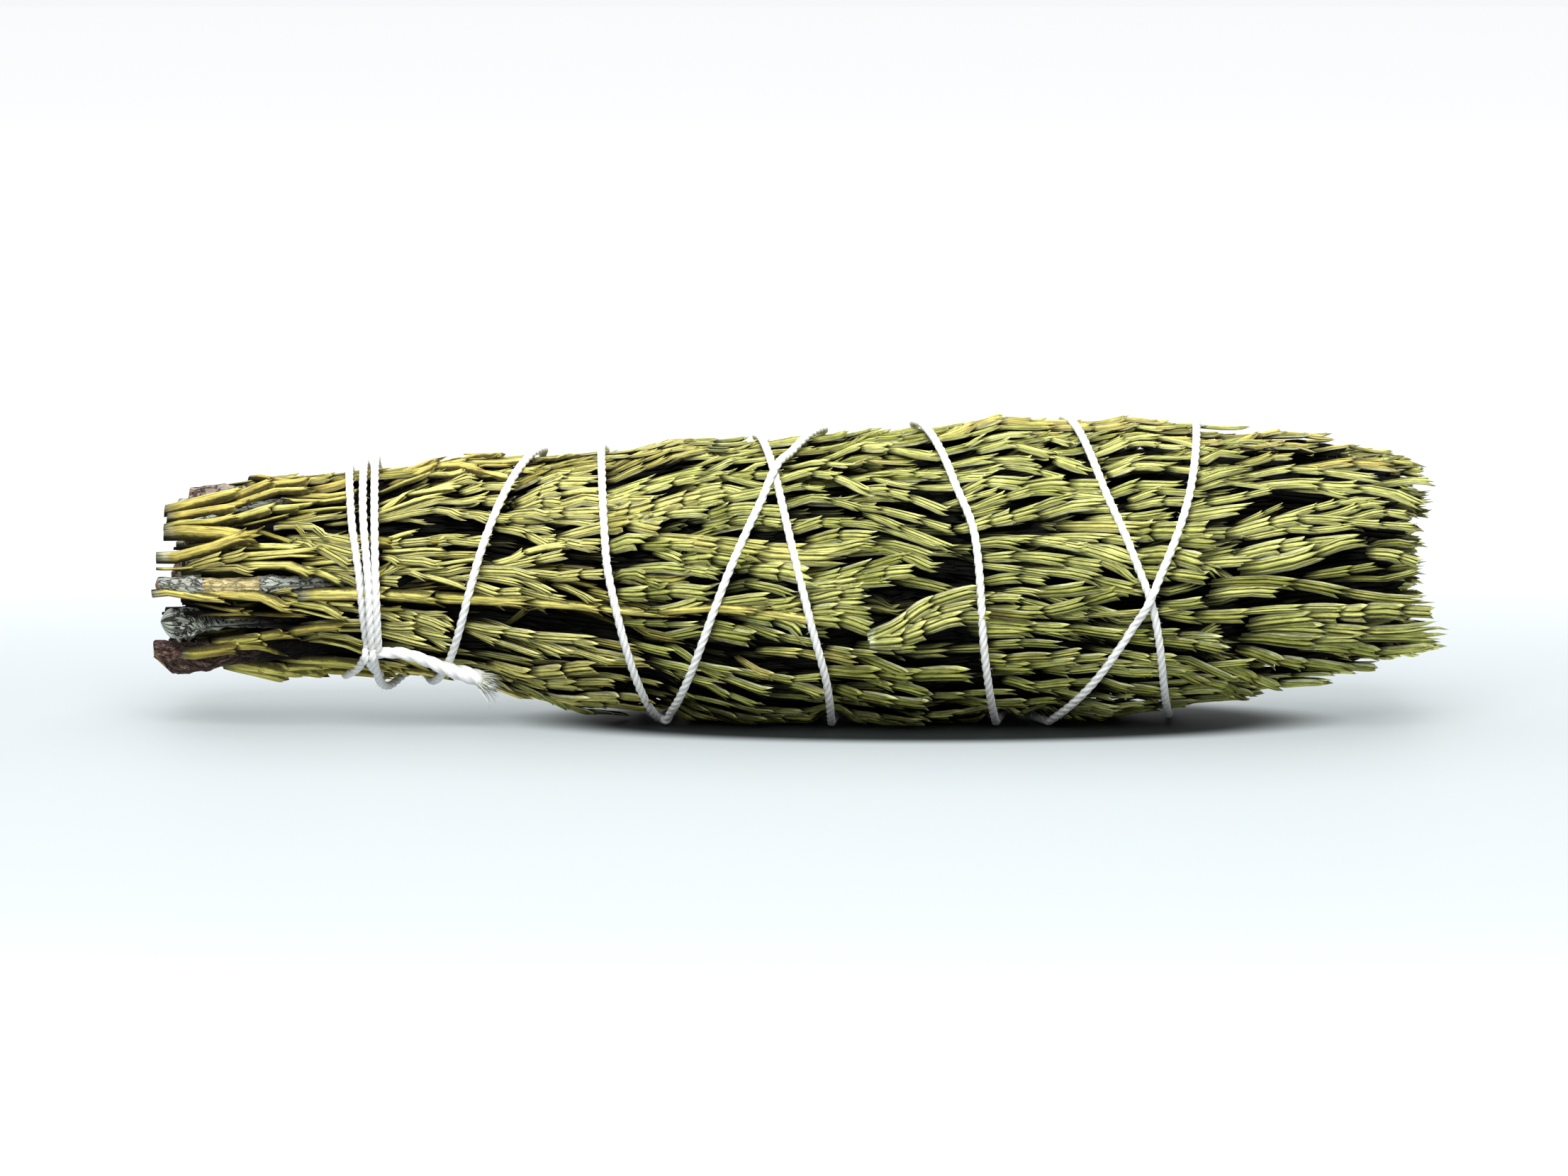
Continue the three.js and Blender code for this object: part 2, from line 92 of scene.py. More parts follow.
# It goes straight over the top.
ROUTE = sorted(ROUTE + [[turned + 22, x] for turned, x in ROUTE if turned % 360 == 98], reverse=True)
# Sprays are golden near the cut end, up to about here.
GOLD_UNTIL = (-104, -56)
# Deep gaps that twigs stand aside from: where each starts and ends along the bundle, its angle
# in degrees at both, and how far the twigs stand aside.
PARTINGS = [
    [-69.8, -57.1, 58, 55, 1.2],
    [-69.4, -51.2, 33, 28, 1.5],
    [-59.2, -42.8, 18, 20, 1.2],
    [-69.0, -58.0, -19, -13, 0.7],
    [-55.0, -42.8, -15, -14, 1.2],
    [-69.0, -57.5, 0, 0, 1.0],
    [-92.2, -72.8, -44, -38, 1.1],
    [-93.5, -82.1, -9, -15, 1.0],
    [-29.7, -18.2, 55, 62, 0.6],
    [-27.1, -14.0, 41, 45, 0.9],
    [-12.7, -4.3, 58, 54, 0.9],
    [4.2, 10.1, 46, 44, 0.8],
    [-24.2, -7.7, 27, 28, 1.0],
    [-23.7, -13.6, 11, 9, 0.8],
    [10.5, 16.3, -9, 2, 1.4],
    [-47.4, -22.9, -15, -14, 1.4],
    [-14.0, -4.3, -20, -29, 0.8],
    [-39.4, -33.0, -3, -3, 0.6],
    [-6.8, 4.2, -16, -18, 0.9],
    [24.7, 37.0, 61, 59, 0.8],
    [37.0, 50.1, 54, 45, 1.3],
    [49.6, 61.5, 60, 58, 0.8],
    [56.4, 66.5, 46, 44, 0.7],
    [31.9, 39.5, 42, 40, 0.6],
    [11.6, 16.7, 55, 52, 0.5],
    [11.6, 22.2, 37, 31, 0.6],
    [30.6, 37.0, 18, 17, 0.6],
    [11.6, 29.3, 0, 4, 1.2],
    [41.2, 53.9, 8, 2, 1.2],
    [49.6, 58.1, -8, -4, 1.2],
    [31.0, 42.9, -9, -11, 0.7],
    [46.3, 53.9, -19, -19, 0.6],
    [53.9, 60.2, 21, 16, 1.0],
    [35.3, 49.6, -38, -38, 0.6],
    [64.0, 70.8, -32, -42, 0.9],
    [72.2, 97.6, 65, 98, 1.6],
    [72.2, 89.5, 30, 41, 1.6],
    [59.5, 84.9, 0, 0, 1.4],
    [70.9, 101.8, -7, -12, 1.3],
    [63.3, 75.2, -19, -20, 1.0],
    [85.3, 99.7, -22, -26, 0.9],
    [95.5, 103.9, 20, 28, 1.3],
    [76.9, 94.6, 16, 21, 0.8],
    [84.9, 95.0, 3, 8, 0.8],
    [64.2, 73.5, -28, -39, 0.9],
    [95.5, 102.6, 54, 64, 1.2],
]
# Twigs that lie on top at the front: their spray, joint, half width, thickness, tone, age, how
# pale the cut end is, how high they lie, and where they run: x and degrees.
FRONT_TWIGS = [
    ["butt_spray_2", 10, 0.79, 0.8, 0.5, 0.5, 0.5, 0.5, [[-91.4, 98], [-88.8, 82], [-84.2, 72]]],
    ["butt_spray_1", 9, 1.29, 0.8, 0.45, 0.4, 0.4, 0.7, [[-104.9, 57], [-102.6, 58], [-99.5, 61], [-96.2, 63], [-94.2, 63]]],
    ["butt_spray_1", 11, 1.23, 0.75, 0.5, 0.4, 0, 0.8, [[-97.5, 63], [-94.4, 63], [-90.6, 66], [-87.3, 68], [-84.2, 69], [-80.4, 71]]],
    ["butt_spray_2", 6, 0.55, 0.8, 0.5, 0.5, 0, 0.6, [[-84.7, 69], [-82.7, 79], [-80.6, 94]]],
    ["butt_spray_1", 6, 1.43, 0.7, 0.5, 0.75, 0, 0.8, [[-80.6, 70], [-78.1, 69], [-75, 68]]],
    ["butt_spray_1", 8, 1.23, 0.6, 0.55, 0.4, 0, 0.5, [[-84.7, 64], [-81.7, 61], [-78.6, 57], [-74.8, 56]]],
    ["butt_spray_1", 12, 0.78, 0.8, 0.55, 0.4, 0, 0.9, [[-85.5, 59], [-82.7, 55], [-79.6, 52], [-75.5, 51]]],
    ["butt_spray_1", 9, 0.96, 0.75, 0.5, 0.35, 0, 0.6, [[-95.5, 58], [-91.9, 60], [-88.8, 62], [-85.7, 63], [-83.2, 62]]],
    ["butt_spray_1", 14, 1.16, 0.85, 0.4, 0.4, 0.4, 0.4, [[-104.4, 51], [-101.6, 51], [-99, 53], [-96.2, 53], [-93.4, 53]]],
    ["butt_spray_1", 8, 0.7, 0.8, 0.5, 0.3, 0.4, 0.6, [[-104.9, 42], [-102.6, 44], [-99.5, 44], [-96.5, 43], [-94.2, 45]]],
    ["butt_spray_1", 8, 1.01, 0.65, 0.55, 0.15, 0, 0.7, [[-95.5, 44], [-92.9, 47], [-90.3, 48], [-86.8, 48], [-83.7, 48], [-80.4, 48]]],
    ["butt_spray_1", 8, 0.39, 0.8, 0.5, 0.1, 0, 0.4, [[-91.9, 42], [-88.8, 43], [-85.2, 44]]],
    ["butt_spray_1", 14, 1.31, 0.8, 0.3, 0.45, 0.5, 0.2, [[-104.7, 39], [-101.6, 38], [-98.5, 38], [-95.5, 35], [-93.4, 33], [-91.1, 30]]],
    ["butt_spray_1", 8, 0.35, 0.8, 0.1, 0.3, 0, -0.5, [[-103.4, 30], [-100.1, 30], [-95.7, 31]]],
    ["butt_spray_1", 13, 1.15, 0.9, 0.45, 0.4, 0.9, 0.5, [[-105.9, 22], [-102.6, 21], [-99.5, 23], [-97, 25], [-95.2, 28], [-92.6, 30]]],
    ["butt_spray_1", 9, 0.69, 0.7, 0.55, 0.05, 0, 0.5, [[-94.7, 27], [-91.9, 26], [-88.8, 24], [-86.3, 24], [-83.7, 23]]],
    ["butt_spray_8", 8, 0.33, 0.9, 0.6, 0.3, 0.3, 0.4, [[-106.2, 15], [-103.6, 14], [-100.6, 14]]],
    ["butt_spray_8", 7, 0.86, 0.75, 0.6, 0.3, 0, 0.8, [[-101.6, 13], [-99.5, 16], [-97.5, 17], [-94.4, 18], [-92.4, 19], [-90.6, 21]]],
    ["butt_spray_8", 7, 0.58, 0.8, 0.5, 0.3, 0, 0.6, [[-99, 13], [-96.2, 13], [-93.9, 13], [-92.4, 11], [-90.9, 9]]],
    ["butt_spray_1", 8, 0.6, 0.7, 0.6, 0.2, 0, 0.7, [[-92.6, 20], [-89.3, 20], [-86.3, 20], [-83.7, 20], [-80.9, 21]]],
    ["butt_spray_8", 9, 0.33, 0.8, 0.6, 0.2, 0, 0.8, [[-91.9, 17], [-88.8, 17], [-85.7, 17], [-83.2, 18], [-80.9, 17]]],
    ["butt_spray_8", 11, 0.84, 0.7, 0.5, 0.25, 0, 0.8, [[-92.4, 13], [-89.3, 13], [-86.8, 13], [-84.2, 12], [-82.7, 10], [-81.1, 7]]],
    ["butt_spray_1", 9, 0.58, 0.7, 0.6, 0.15, 0, 0.6, [[-84.7, 47], [-81.7, 48], [-78.6, 47], [-74.5, 45]]],
    ["butt_spray_1", 5, 0.64, 0.7, 0.55, 0.15, 0, 0.5, [[-84.7, 43], [-82.2, 44], [-80.4, 45]]],
    ["butt_spray_1", 6, 0.64, 0.6, 0.55, 0.1, 0, 0.5, [[-85.7, 41], [-82.7, 41], [-80.1, 42], [-77.6, 41]]],
    ["butt_spray_1", 7, 0.57, 0.6, 0.55, 0.1, 0, 0.4, [[-79.9, 44], [-77.3, 43], [-74.2, 42]]],
    ["butt_spray_1", 7, 0.46, 0.7, 0.5, 0.15, 0, 0.3, [[-78.1, 39], [-74.2, 38]]],
    ["butt_spray_1", 7, 0.66, 0.7, 0.55, 0.1, 0, 0.9, [[-85.7, 38], [-83.4, 38], [-81.4, 37], [-79.6, 34], [-78.3, 28]]],
    ["butt_spray_1", 5, 0.43, 0.8, 0.6, 0.3, 0.5, 0.8, [[-86.8, 35], [-84.5, 36], [-82.7, 35], [-81.8, 30]]],
    ["butt_spray_1", 8, 0.58, 0.7, 0.4, 0.15, 0, 0.3, [[-89.8, 36], [-87.8, 34], [-85.7, 30], [-84, 27]]],
    ["butt_spray_1", 5, 0.7, 0.6, 0.55, 0.05, 0, 0.7, [[-84.7, 29], [-82.4, 27], [-80.9, 25], [-80, 22]]],
    ["butt_spray_1", 6, 0.57, 0.7, 0.6, 0.05, 0, 0.5, [[-84.2, 31], [-81.7, 30], [-78.8, 29]]],
    ["butt_spray_1", 6, 0.85, 0.5, 0.6, 0.05, 0, 0.9, [[-80.9, 32], [-78.1, 29], [-75.5, 26], [-73, 23]]],
    ["butt_spray_1", 6, 0.82, 0.5, 0.6, 0.05, 0, 1, [[-80.1, 27], [-77.6, 23], [-75.5, 20], [-72.7, 17]]],
    ["butt_spray_1", 7, 0.74, 0.5, 0.65, 0.05, 0, 1.1, [[-80.1, 25], [-77.8, 20], [-76, 16], [-74.5, 12]]],
    ["butt_spray_8", 6, 0.59, 0.9, 0.3, 0.5, 0, 0.3, [[-81.4, 16], [-79.4, 16], [-77.1, 17]]],
    ["butt_spray_8", 8, 0.46, 0.7, 0.6, 0.3, 0, 0.5, [[-81.9, 13], [-79.1, 13], [-77.1, 14], [-74.8, 13]]],
    ["butt_spray_8", 9, 0.77, 0.65, 0.6, 0.15, 0, 1, [[-82.4, 10], [-80.1, 9], [-78.3, 6], [-76, 2]]],
    ["butt_spray_8", 6, 0.58, 0.7, 0.6, 0.3, 0, 0.6, [[-78.6, 10], [-76, 9], [-73, 8]]],
    ["butt_spray_8", 6, 0.7, 0.6, 0.5, 0.2, 0, 0.9, [[-77.1, 6], [-75, 4], [-72.7, 0]]],
    ["butt_spray_8", 12, 1.02, 0.8, 0.5, 0.4, 0.7, 0.5, [[-106.7, -1], [-103.9, 0], [-101.3, -1], [-99, -4], [-96.2, -5]]],
    ["butt_spray_8", 15, 1.03, 0.8, 0.5, 0.45, 0, 0.7, [[-99, -1], [-95.7, -3], [-91.9, -4], [-88, -6], [-85.2, -12]]],
    ["butt_spray_8", 5, 0.45, 0.8, 0.6, 0.4, 0, 0.9, [[-86.8, -4], [-85.2, -3], [-84, -3]]],
    ["butt_spray_8", 8, 0.52, 0.7, 0.5, 0, 0, 0.6, [[-84.5, -5], [-81.1, -8], [-78.3, -11], [-75.5, -12], [-72.2, -13]]],
    ["butt_spray_8", 11, 0.91, 0.6, 0.5, 0.1, 0, 0.9, [[-85.2, -8], [-82.7, -11], [-80.1, -13], [-78.1, -14], [-75.8, -19]]],
    ["butt_spray_8", 9, 0.37, 0.8, 0.65, 0.1, 0, 0.9, [[-84.2, -14], [-81.1, -16], [-78.6, -19], [-75.5, -20]]],
    ["butt_spray_8", 8, 0.79, 0.65, 0.45, 0.1, 0, 0.5, [[-76.5, -16], [-74.2, -16], [-72.2, -17]]],
    ["butt_spray_8", 9, 0.65, 0.8, 0.15, 0.4, 0, -0.6, [[-102.1, -8], [-98.3, -11], [-93.4, -14]]],
    ["butt_spray_8", 9, 0.66, 0.8, 0.1, 0.3, 0, -0.8, [[-101.6, -19], [-97, -18], [-91.9, -16]]],
    ["butt_spray_7", 9, 0.66, 0.8, 0.05, 0.3, 0, -0.9, [[-94.4, -18], [-89.3, -18], [-82.2, -19]]],
    ["butt_spray_7", 8, 1.6, 0.65, 0.2, 0, 0.4, 0.9, [[-102.1, -45], [-99.5, -44], [-97, -42], [-93.9, -38], [-91.1, -36], [-88.8, -36], [-86, -38]]],
    ["butt_spray_7", 8, 1.15, 0.65, 0.2, 0, 0, 1.1, [[-97, -39], [-94.4, -36], [-91.1, -32], [-88.6, -29], [-85.5, -27], [-81.1, -25], [-76, -25]]],
    ["butt_spray_7", 7, 0.72, 0.65, 0.45, 0.05, 0, 0.5, [[-87.8, -33], [-84.2, -31], [-80.6, -29]]],
    ["butt_spray_7", 7, 0.69, 0.65, 0.45, 0.05, 0, 0.6, [[-81.7, -26], [-78.6, -25], [-75.5, -24], [-72.2, -23]]],
    ["butt_spray_7", 8, 0.49, 0.7, 0.45, 0.05, 0, 0.5, [[-80.9, -30], [-77.8, -30], [-75, -29], [-72.2, -28]]],
    ["butt_spray_7", 7, 0.9, 0.6, 0.4, 0.1, 0, 0.6, [[-81.4, -37], [-78.1, -33], [-75.5, -34], [-72.5, -37]]],
    ["butt_spray_7", 8, 0.7, 0.7, 0.35, 0.1, 0, 0.5, [[-80.9, -38], [-77.8, -39], [-75, -41], [-72.5, -44]]],
    ["butt_spray_6", 9, 1.73, 0.7, 0.35, 0.2, 0, 0.4, [[-95.5, -70], [-91.9, -66], [-88, -63], [-83.7, -72]]],
    ["butt_spray_6", 9, 1.35, 0.7, 0.35, 0.15, 0, 0.5, [[-84.7, -60], [-81.7, -61], [-78.1, -58], [-74.5, -56], [-71.7, -60]]],
    ["butt_spray_8", 13, 1.1, 0.85, 0.5, 0.45, 0.6, 0.5, [[-82.2, -6], [-72.9, -6], [-57, -6.9], [-43, -6], [-25, -5.5], [-15, -3], [-6, -5], [4, -9]]],
    ["butt_spray_6", 9, 1.3, 0.7, 0.3, 0.15, 0, 0.3, [[-95.8, -66], [-85.2, -64], [-69, -62]]],
    ["butt_spray_6", 9, 1.5, 0.7, 0.2, 0.1, 0, 0.5, [[-95.8, -78], [-84.5, -75], [-69, -72]]],
    ["belly_spray_8", 4.5, 0.9, 0.6, 0.05, 0.1, 0, 1.0, [[-47, -62], [-38, -72], [-31, -80]]],
    ["belly_spray_8", 4.5, 0.9, 0.6, 0.05, 0.1, 0, 1.2, [[-44, -70], [-36, -80], [-29, -88]]],
    ["belly_spray_3", 5.5, 1.5, 0.5, 0.6, 0.25, 0.9, 1.1, [[12, -15], [16.7, -10], [20.9, -4], [29, 1]]],
    ["belly_spray_3", 5.5, 1.6, 0.5, 0.6, 0.2, 0.9, 1.1, [[12.3, -16], [18, -14], [25.5, -9], [32, -9]]],
    ["belly_spray_3", 4.5, 1.2, 0.5, 0.6, 0.25, 0, 1.2, [[16, -12], [22, -7], [29, -4]]],
    ["belly_spray_3", 6, 1.5, 0.5, 0.45, 0, 0, 0.5, [[31, -8], [41, -7], [47, -4], [53, -1]]],
    ["belly_spray_3", 9, 1.7, 0.5, 0.45, 0.1, 0, 0.4, [[29, -13], [38, -14], [47, -14]]],
    ["belly_spray_4", 9, 1.4, 0.5, 0.6, 0.5, 0, 0.7, [[-24, 26], [-12, 22], [-3.4, 18], [5.5, 16]]],
    ["belly_spray_4", 8, 1.3, 0.5, 0.6, 0.45, 0, 0.6, [[-14, 26], [-4, 21], [6, 19], [11, 20]]],
    ["belly_spray_5", 7, 1.6, 0.5, 0.6, 0.55, 0, 0.4, [[22, 76], [33, 84], [44, 80], [56, 78]]],
    ["belly_spray_5", 7, 1.5, 0.5, 0.6, 0.55, 0, 0.4, [[26, 84], [36, 90], [48, 86], [62, 88]]],
    ["tip_spray_6", 7, 1.0, 0.6, 0.55, 0.75, 0, -0.1, [[70.5, 73], [76.8, 82], [83.2, 88], [88.6, 88]]],
    ["tip_spray_5", 6, 0.8, 0.6, 0.55, 0.7, 0, 0.3, [[74.8, 72], [80.7, 71], [84.5, 69], [86.6, 65]]],
    ["tip_spray_6", 8, 0.6, 0.7, 0.45, 0.35, 0, -0.1, [[84.0, 70], [89.1, 76], [93.5, 80], [97.3, 82], [100.6, 86]]],
    ["tip_spray_6", 6, 0.65, 0.7, 0.55, 0.25, 0, -0.1, [[93.2, 72], [98.6, 75], [104.7, 84]]],
    ["tip_spray_5", 5, 0.6, 0.6, 0.1, 0.2, 0, -0.5, [[86.6, 61], [89.6, 62], [92.9, 62]]],
    ["tip_spray_5", 7, 1.3, 0.5, 0.6, 0.75, 0, 0.8, [[84.0, 55], [89.6, 58], [94.7, 59], [100.4, 61]]],
    ["tip_spray_5", 4.5, 1.2, 0.5, 0.6, 0.55, 0, 0.6, [[73.8, 56], [78.9, 59], [83.5, 58]]],
    ["tip_spray_5", 8, 1.2, 0.5, 0.8, 0.15, 0, 0.6, [[74.3, 48], [82.0, 51], [89.6, 51], [96.0, 50]]],
    ["tip_spray_5", 9, 1.4, 0.5, 0.8, 0.1, 0, 0.9, [[76.8, 42], [83.2, 43], [89.6, 42], [96.0, 43], [100.4, 42], [104.2, 38]]],
    ["tip_spray_5", 7, 1.1, 0.5, 0.7, 0.1, 0, 0.7, [[81.4, 42], [86.6, 41], [90.4, 38]]],
    ["tip_spray_5", 7, 0.9, 0.6, 0.6, 0.0, 0, 0.2, [[96.3, 49], [101.1, 57], [105.5, 62]]],
    ["tip_spray_4", 5, 0.6, 0.6, 0.4, 0.3, 0, 0.3, [[73.3, 25], [76.8, 28], [81.2, 32]]],
    ["tip_spray_5", 5.5, 0.9, 0.6, 0.85, 0.0, 0, 0.5, [[80.7, 27], [84.5, 30], [89.1, 33], [93.5, 37], [95.5, 37]]],
    ["tip_spray_5", 5.5, 0.9, 0.6, 0.85, 0.0, 0, 0.6, [[86.6, 27], [90.9, 30], [95.2, 35], [98.8, 35]]],
    ["tip_spray_5", 5.5, 1.0, 0.6, 0.85, 0.0, 0, 0.6, [[92.2, 27], [97.3, 32], [102.7, 31]]],
    ["tip_spray_4", 6.5, 1.1, 0.6, 0.8, 0.05, 0, 0.7, [[71.7, 21], [76.8, 23], [84.5, 25], [92.2, 24], [97.3, 24], [103.7, 25]]],
    ["tip_spray_4", 5.5, 0.9, 0.6, 0.75, 0.0, 0, 0.6, [[74.8, 19], [82.0, 21], [87.1, 20], [92.2, 22]]],
    ["tip_spray_4", 5.5, 1.2, 0.6, 0.65, 0.0, 0, 0.5, [[73.3, 11], [76.8, 13], [81.2, 14], [87.1, 15], [92.2, 16]]],
    ["tip_spray_4", 9, 1.4, 0.7, 0.55, 0.15, 0, 1.0, [[74.5, 5], [80.7, 7], [85.8, 10], [90.9, 14], [95.5, 15]]],
    ["tip_spray_4", 5, 1.0, 0.5, 0.35, 0.1, 0, 0.1, [[95.5, 12], [98.6, 16], [101.9, 15]]],
    ["tip_spray_4", 6, 1.4, 0.5, 0.55, 0.1, 0, 0.5, [[95.2, 9], [99.3, 8], [104.5, 3]]],
    ["tip_spray_4", 6, 0.8, 0.6, 0.35, 0.35, 0, 0.3, [[85.0, 0], [89.6, 1], [93.5, 2], [97.3, 3]]],
    ["tip_spray_4", 6, 0.6, 0.7, 0.35, 0.2, 0, 0.0, [[89.1, -3], [92.7, -3], [96.8, -4]]],
    ["tip_spray_4", 7, 0.7, 0.7, 0.4, 0.1, 0, 0.1, [[96.3, -5], [99.9, -4], [103.2, -1]]],
    ["tip_spray_4", 12, 0.9, 0.8, 0.35, 0.35, 0, 0.7, [[69.7, -1], [75.6, 0], [79.4, -1], [85.8, -4], [90.9, -8], [97.3, -13], [103.9, -17]]],
    ["tip_spray_4", 9, 1.1, 0.6, 0.75, 0.1, 0, 0.7, [[69.2, -6], [74.3, -4], [79.1, -5]]],
    ["tip_spray_4", 8, 0.7, 0.7, 0.7, 0.15, 0, 0.6, [[73.3, -15], [78.1, -14], [82.0, -14], [85.8, -14], [92.2, -16]]],
    ["tip_spray_3", 7, 1.4, 0.6, 0.6, 0.25, 0, 0.7, [[75.8, -21], [79.9, -20], [84.5, -19]]],
    ["tip_spray_3", 6, 1.5, 0.6, 0.5, 0.25, 0, 0.9, [[84.5, -19], [89.1, -19], [93.5, -19], [97.3, -19], [101.1, -22], [106.0, -26]]],
    ["tip_spray_3", 9, 1.2, 0.6, 0.45, 0.25, 0, 0.6, [[76.8, -24], [84.5, -25], [90.1, -28], [97.3, -33], [102.4, -36], [106.0, -37]]],
    ["tip_spray_3", 9, 1.2, 0.6, 0.4, 0.2, 0, 0.6, [[74.8, -27], [84.5, -32], [90.9, -34], [97.3, -37], [103.7, -45], [106.2, -50]]],
    ["tip_spray_3", 8, 1.3, 0.6, 0.35, 0.2, 0, 0.5, [[84.5, -39], [92.2, -43], [98.6, -52], [105.4, -60]]],
    ["tip_spray_3", 6, 1.4, 0.6, 0.2, 0.0, 0, 0.3, [[73.8, -33], [79.4, -41], [85.8, -48], [92.2, -59], [97.0, -71]]],
    ["tip_spray_3", 6, 1.6, 0.6, 0.3, 0.0, 0, 0.5, [[69.2, -39], [74.8, -47], [80.7, -60], [84.5, -64], [88.1, -69]]],
    ["tip_spray_3", 6, 1.2, 0.6, 0.1, 0.0, 0, 0.3, [[67.9, -48], [71.7, -58], [77.4, -68]]],
    ["tip_spray_2", 6, 1.2, 0.6, 0.1, 0.0, 0, 0.3, [[67.1, -53], [71.2, -64], [74.8, -76]]],
]
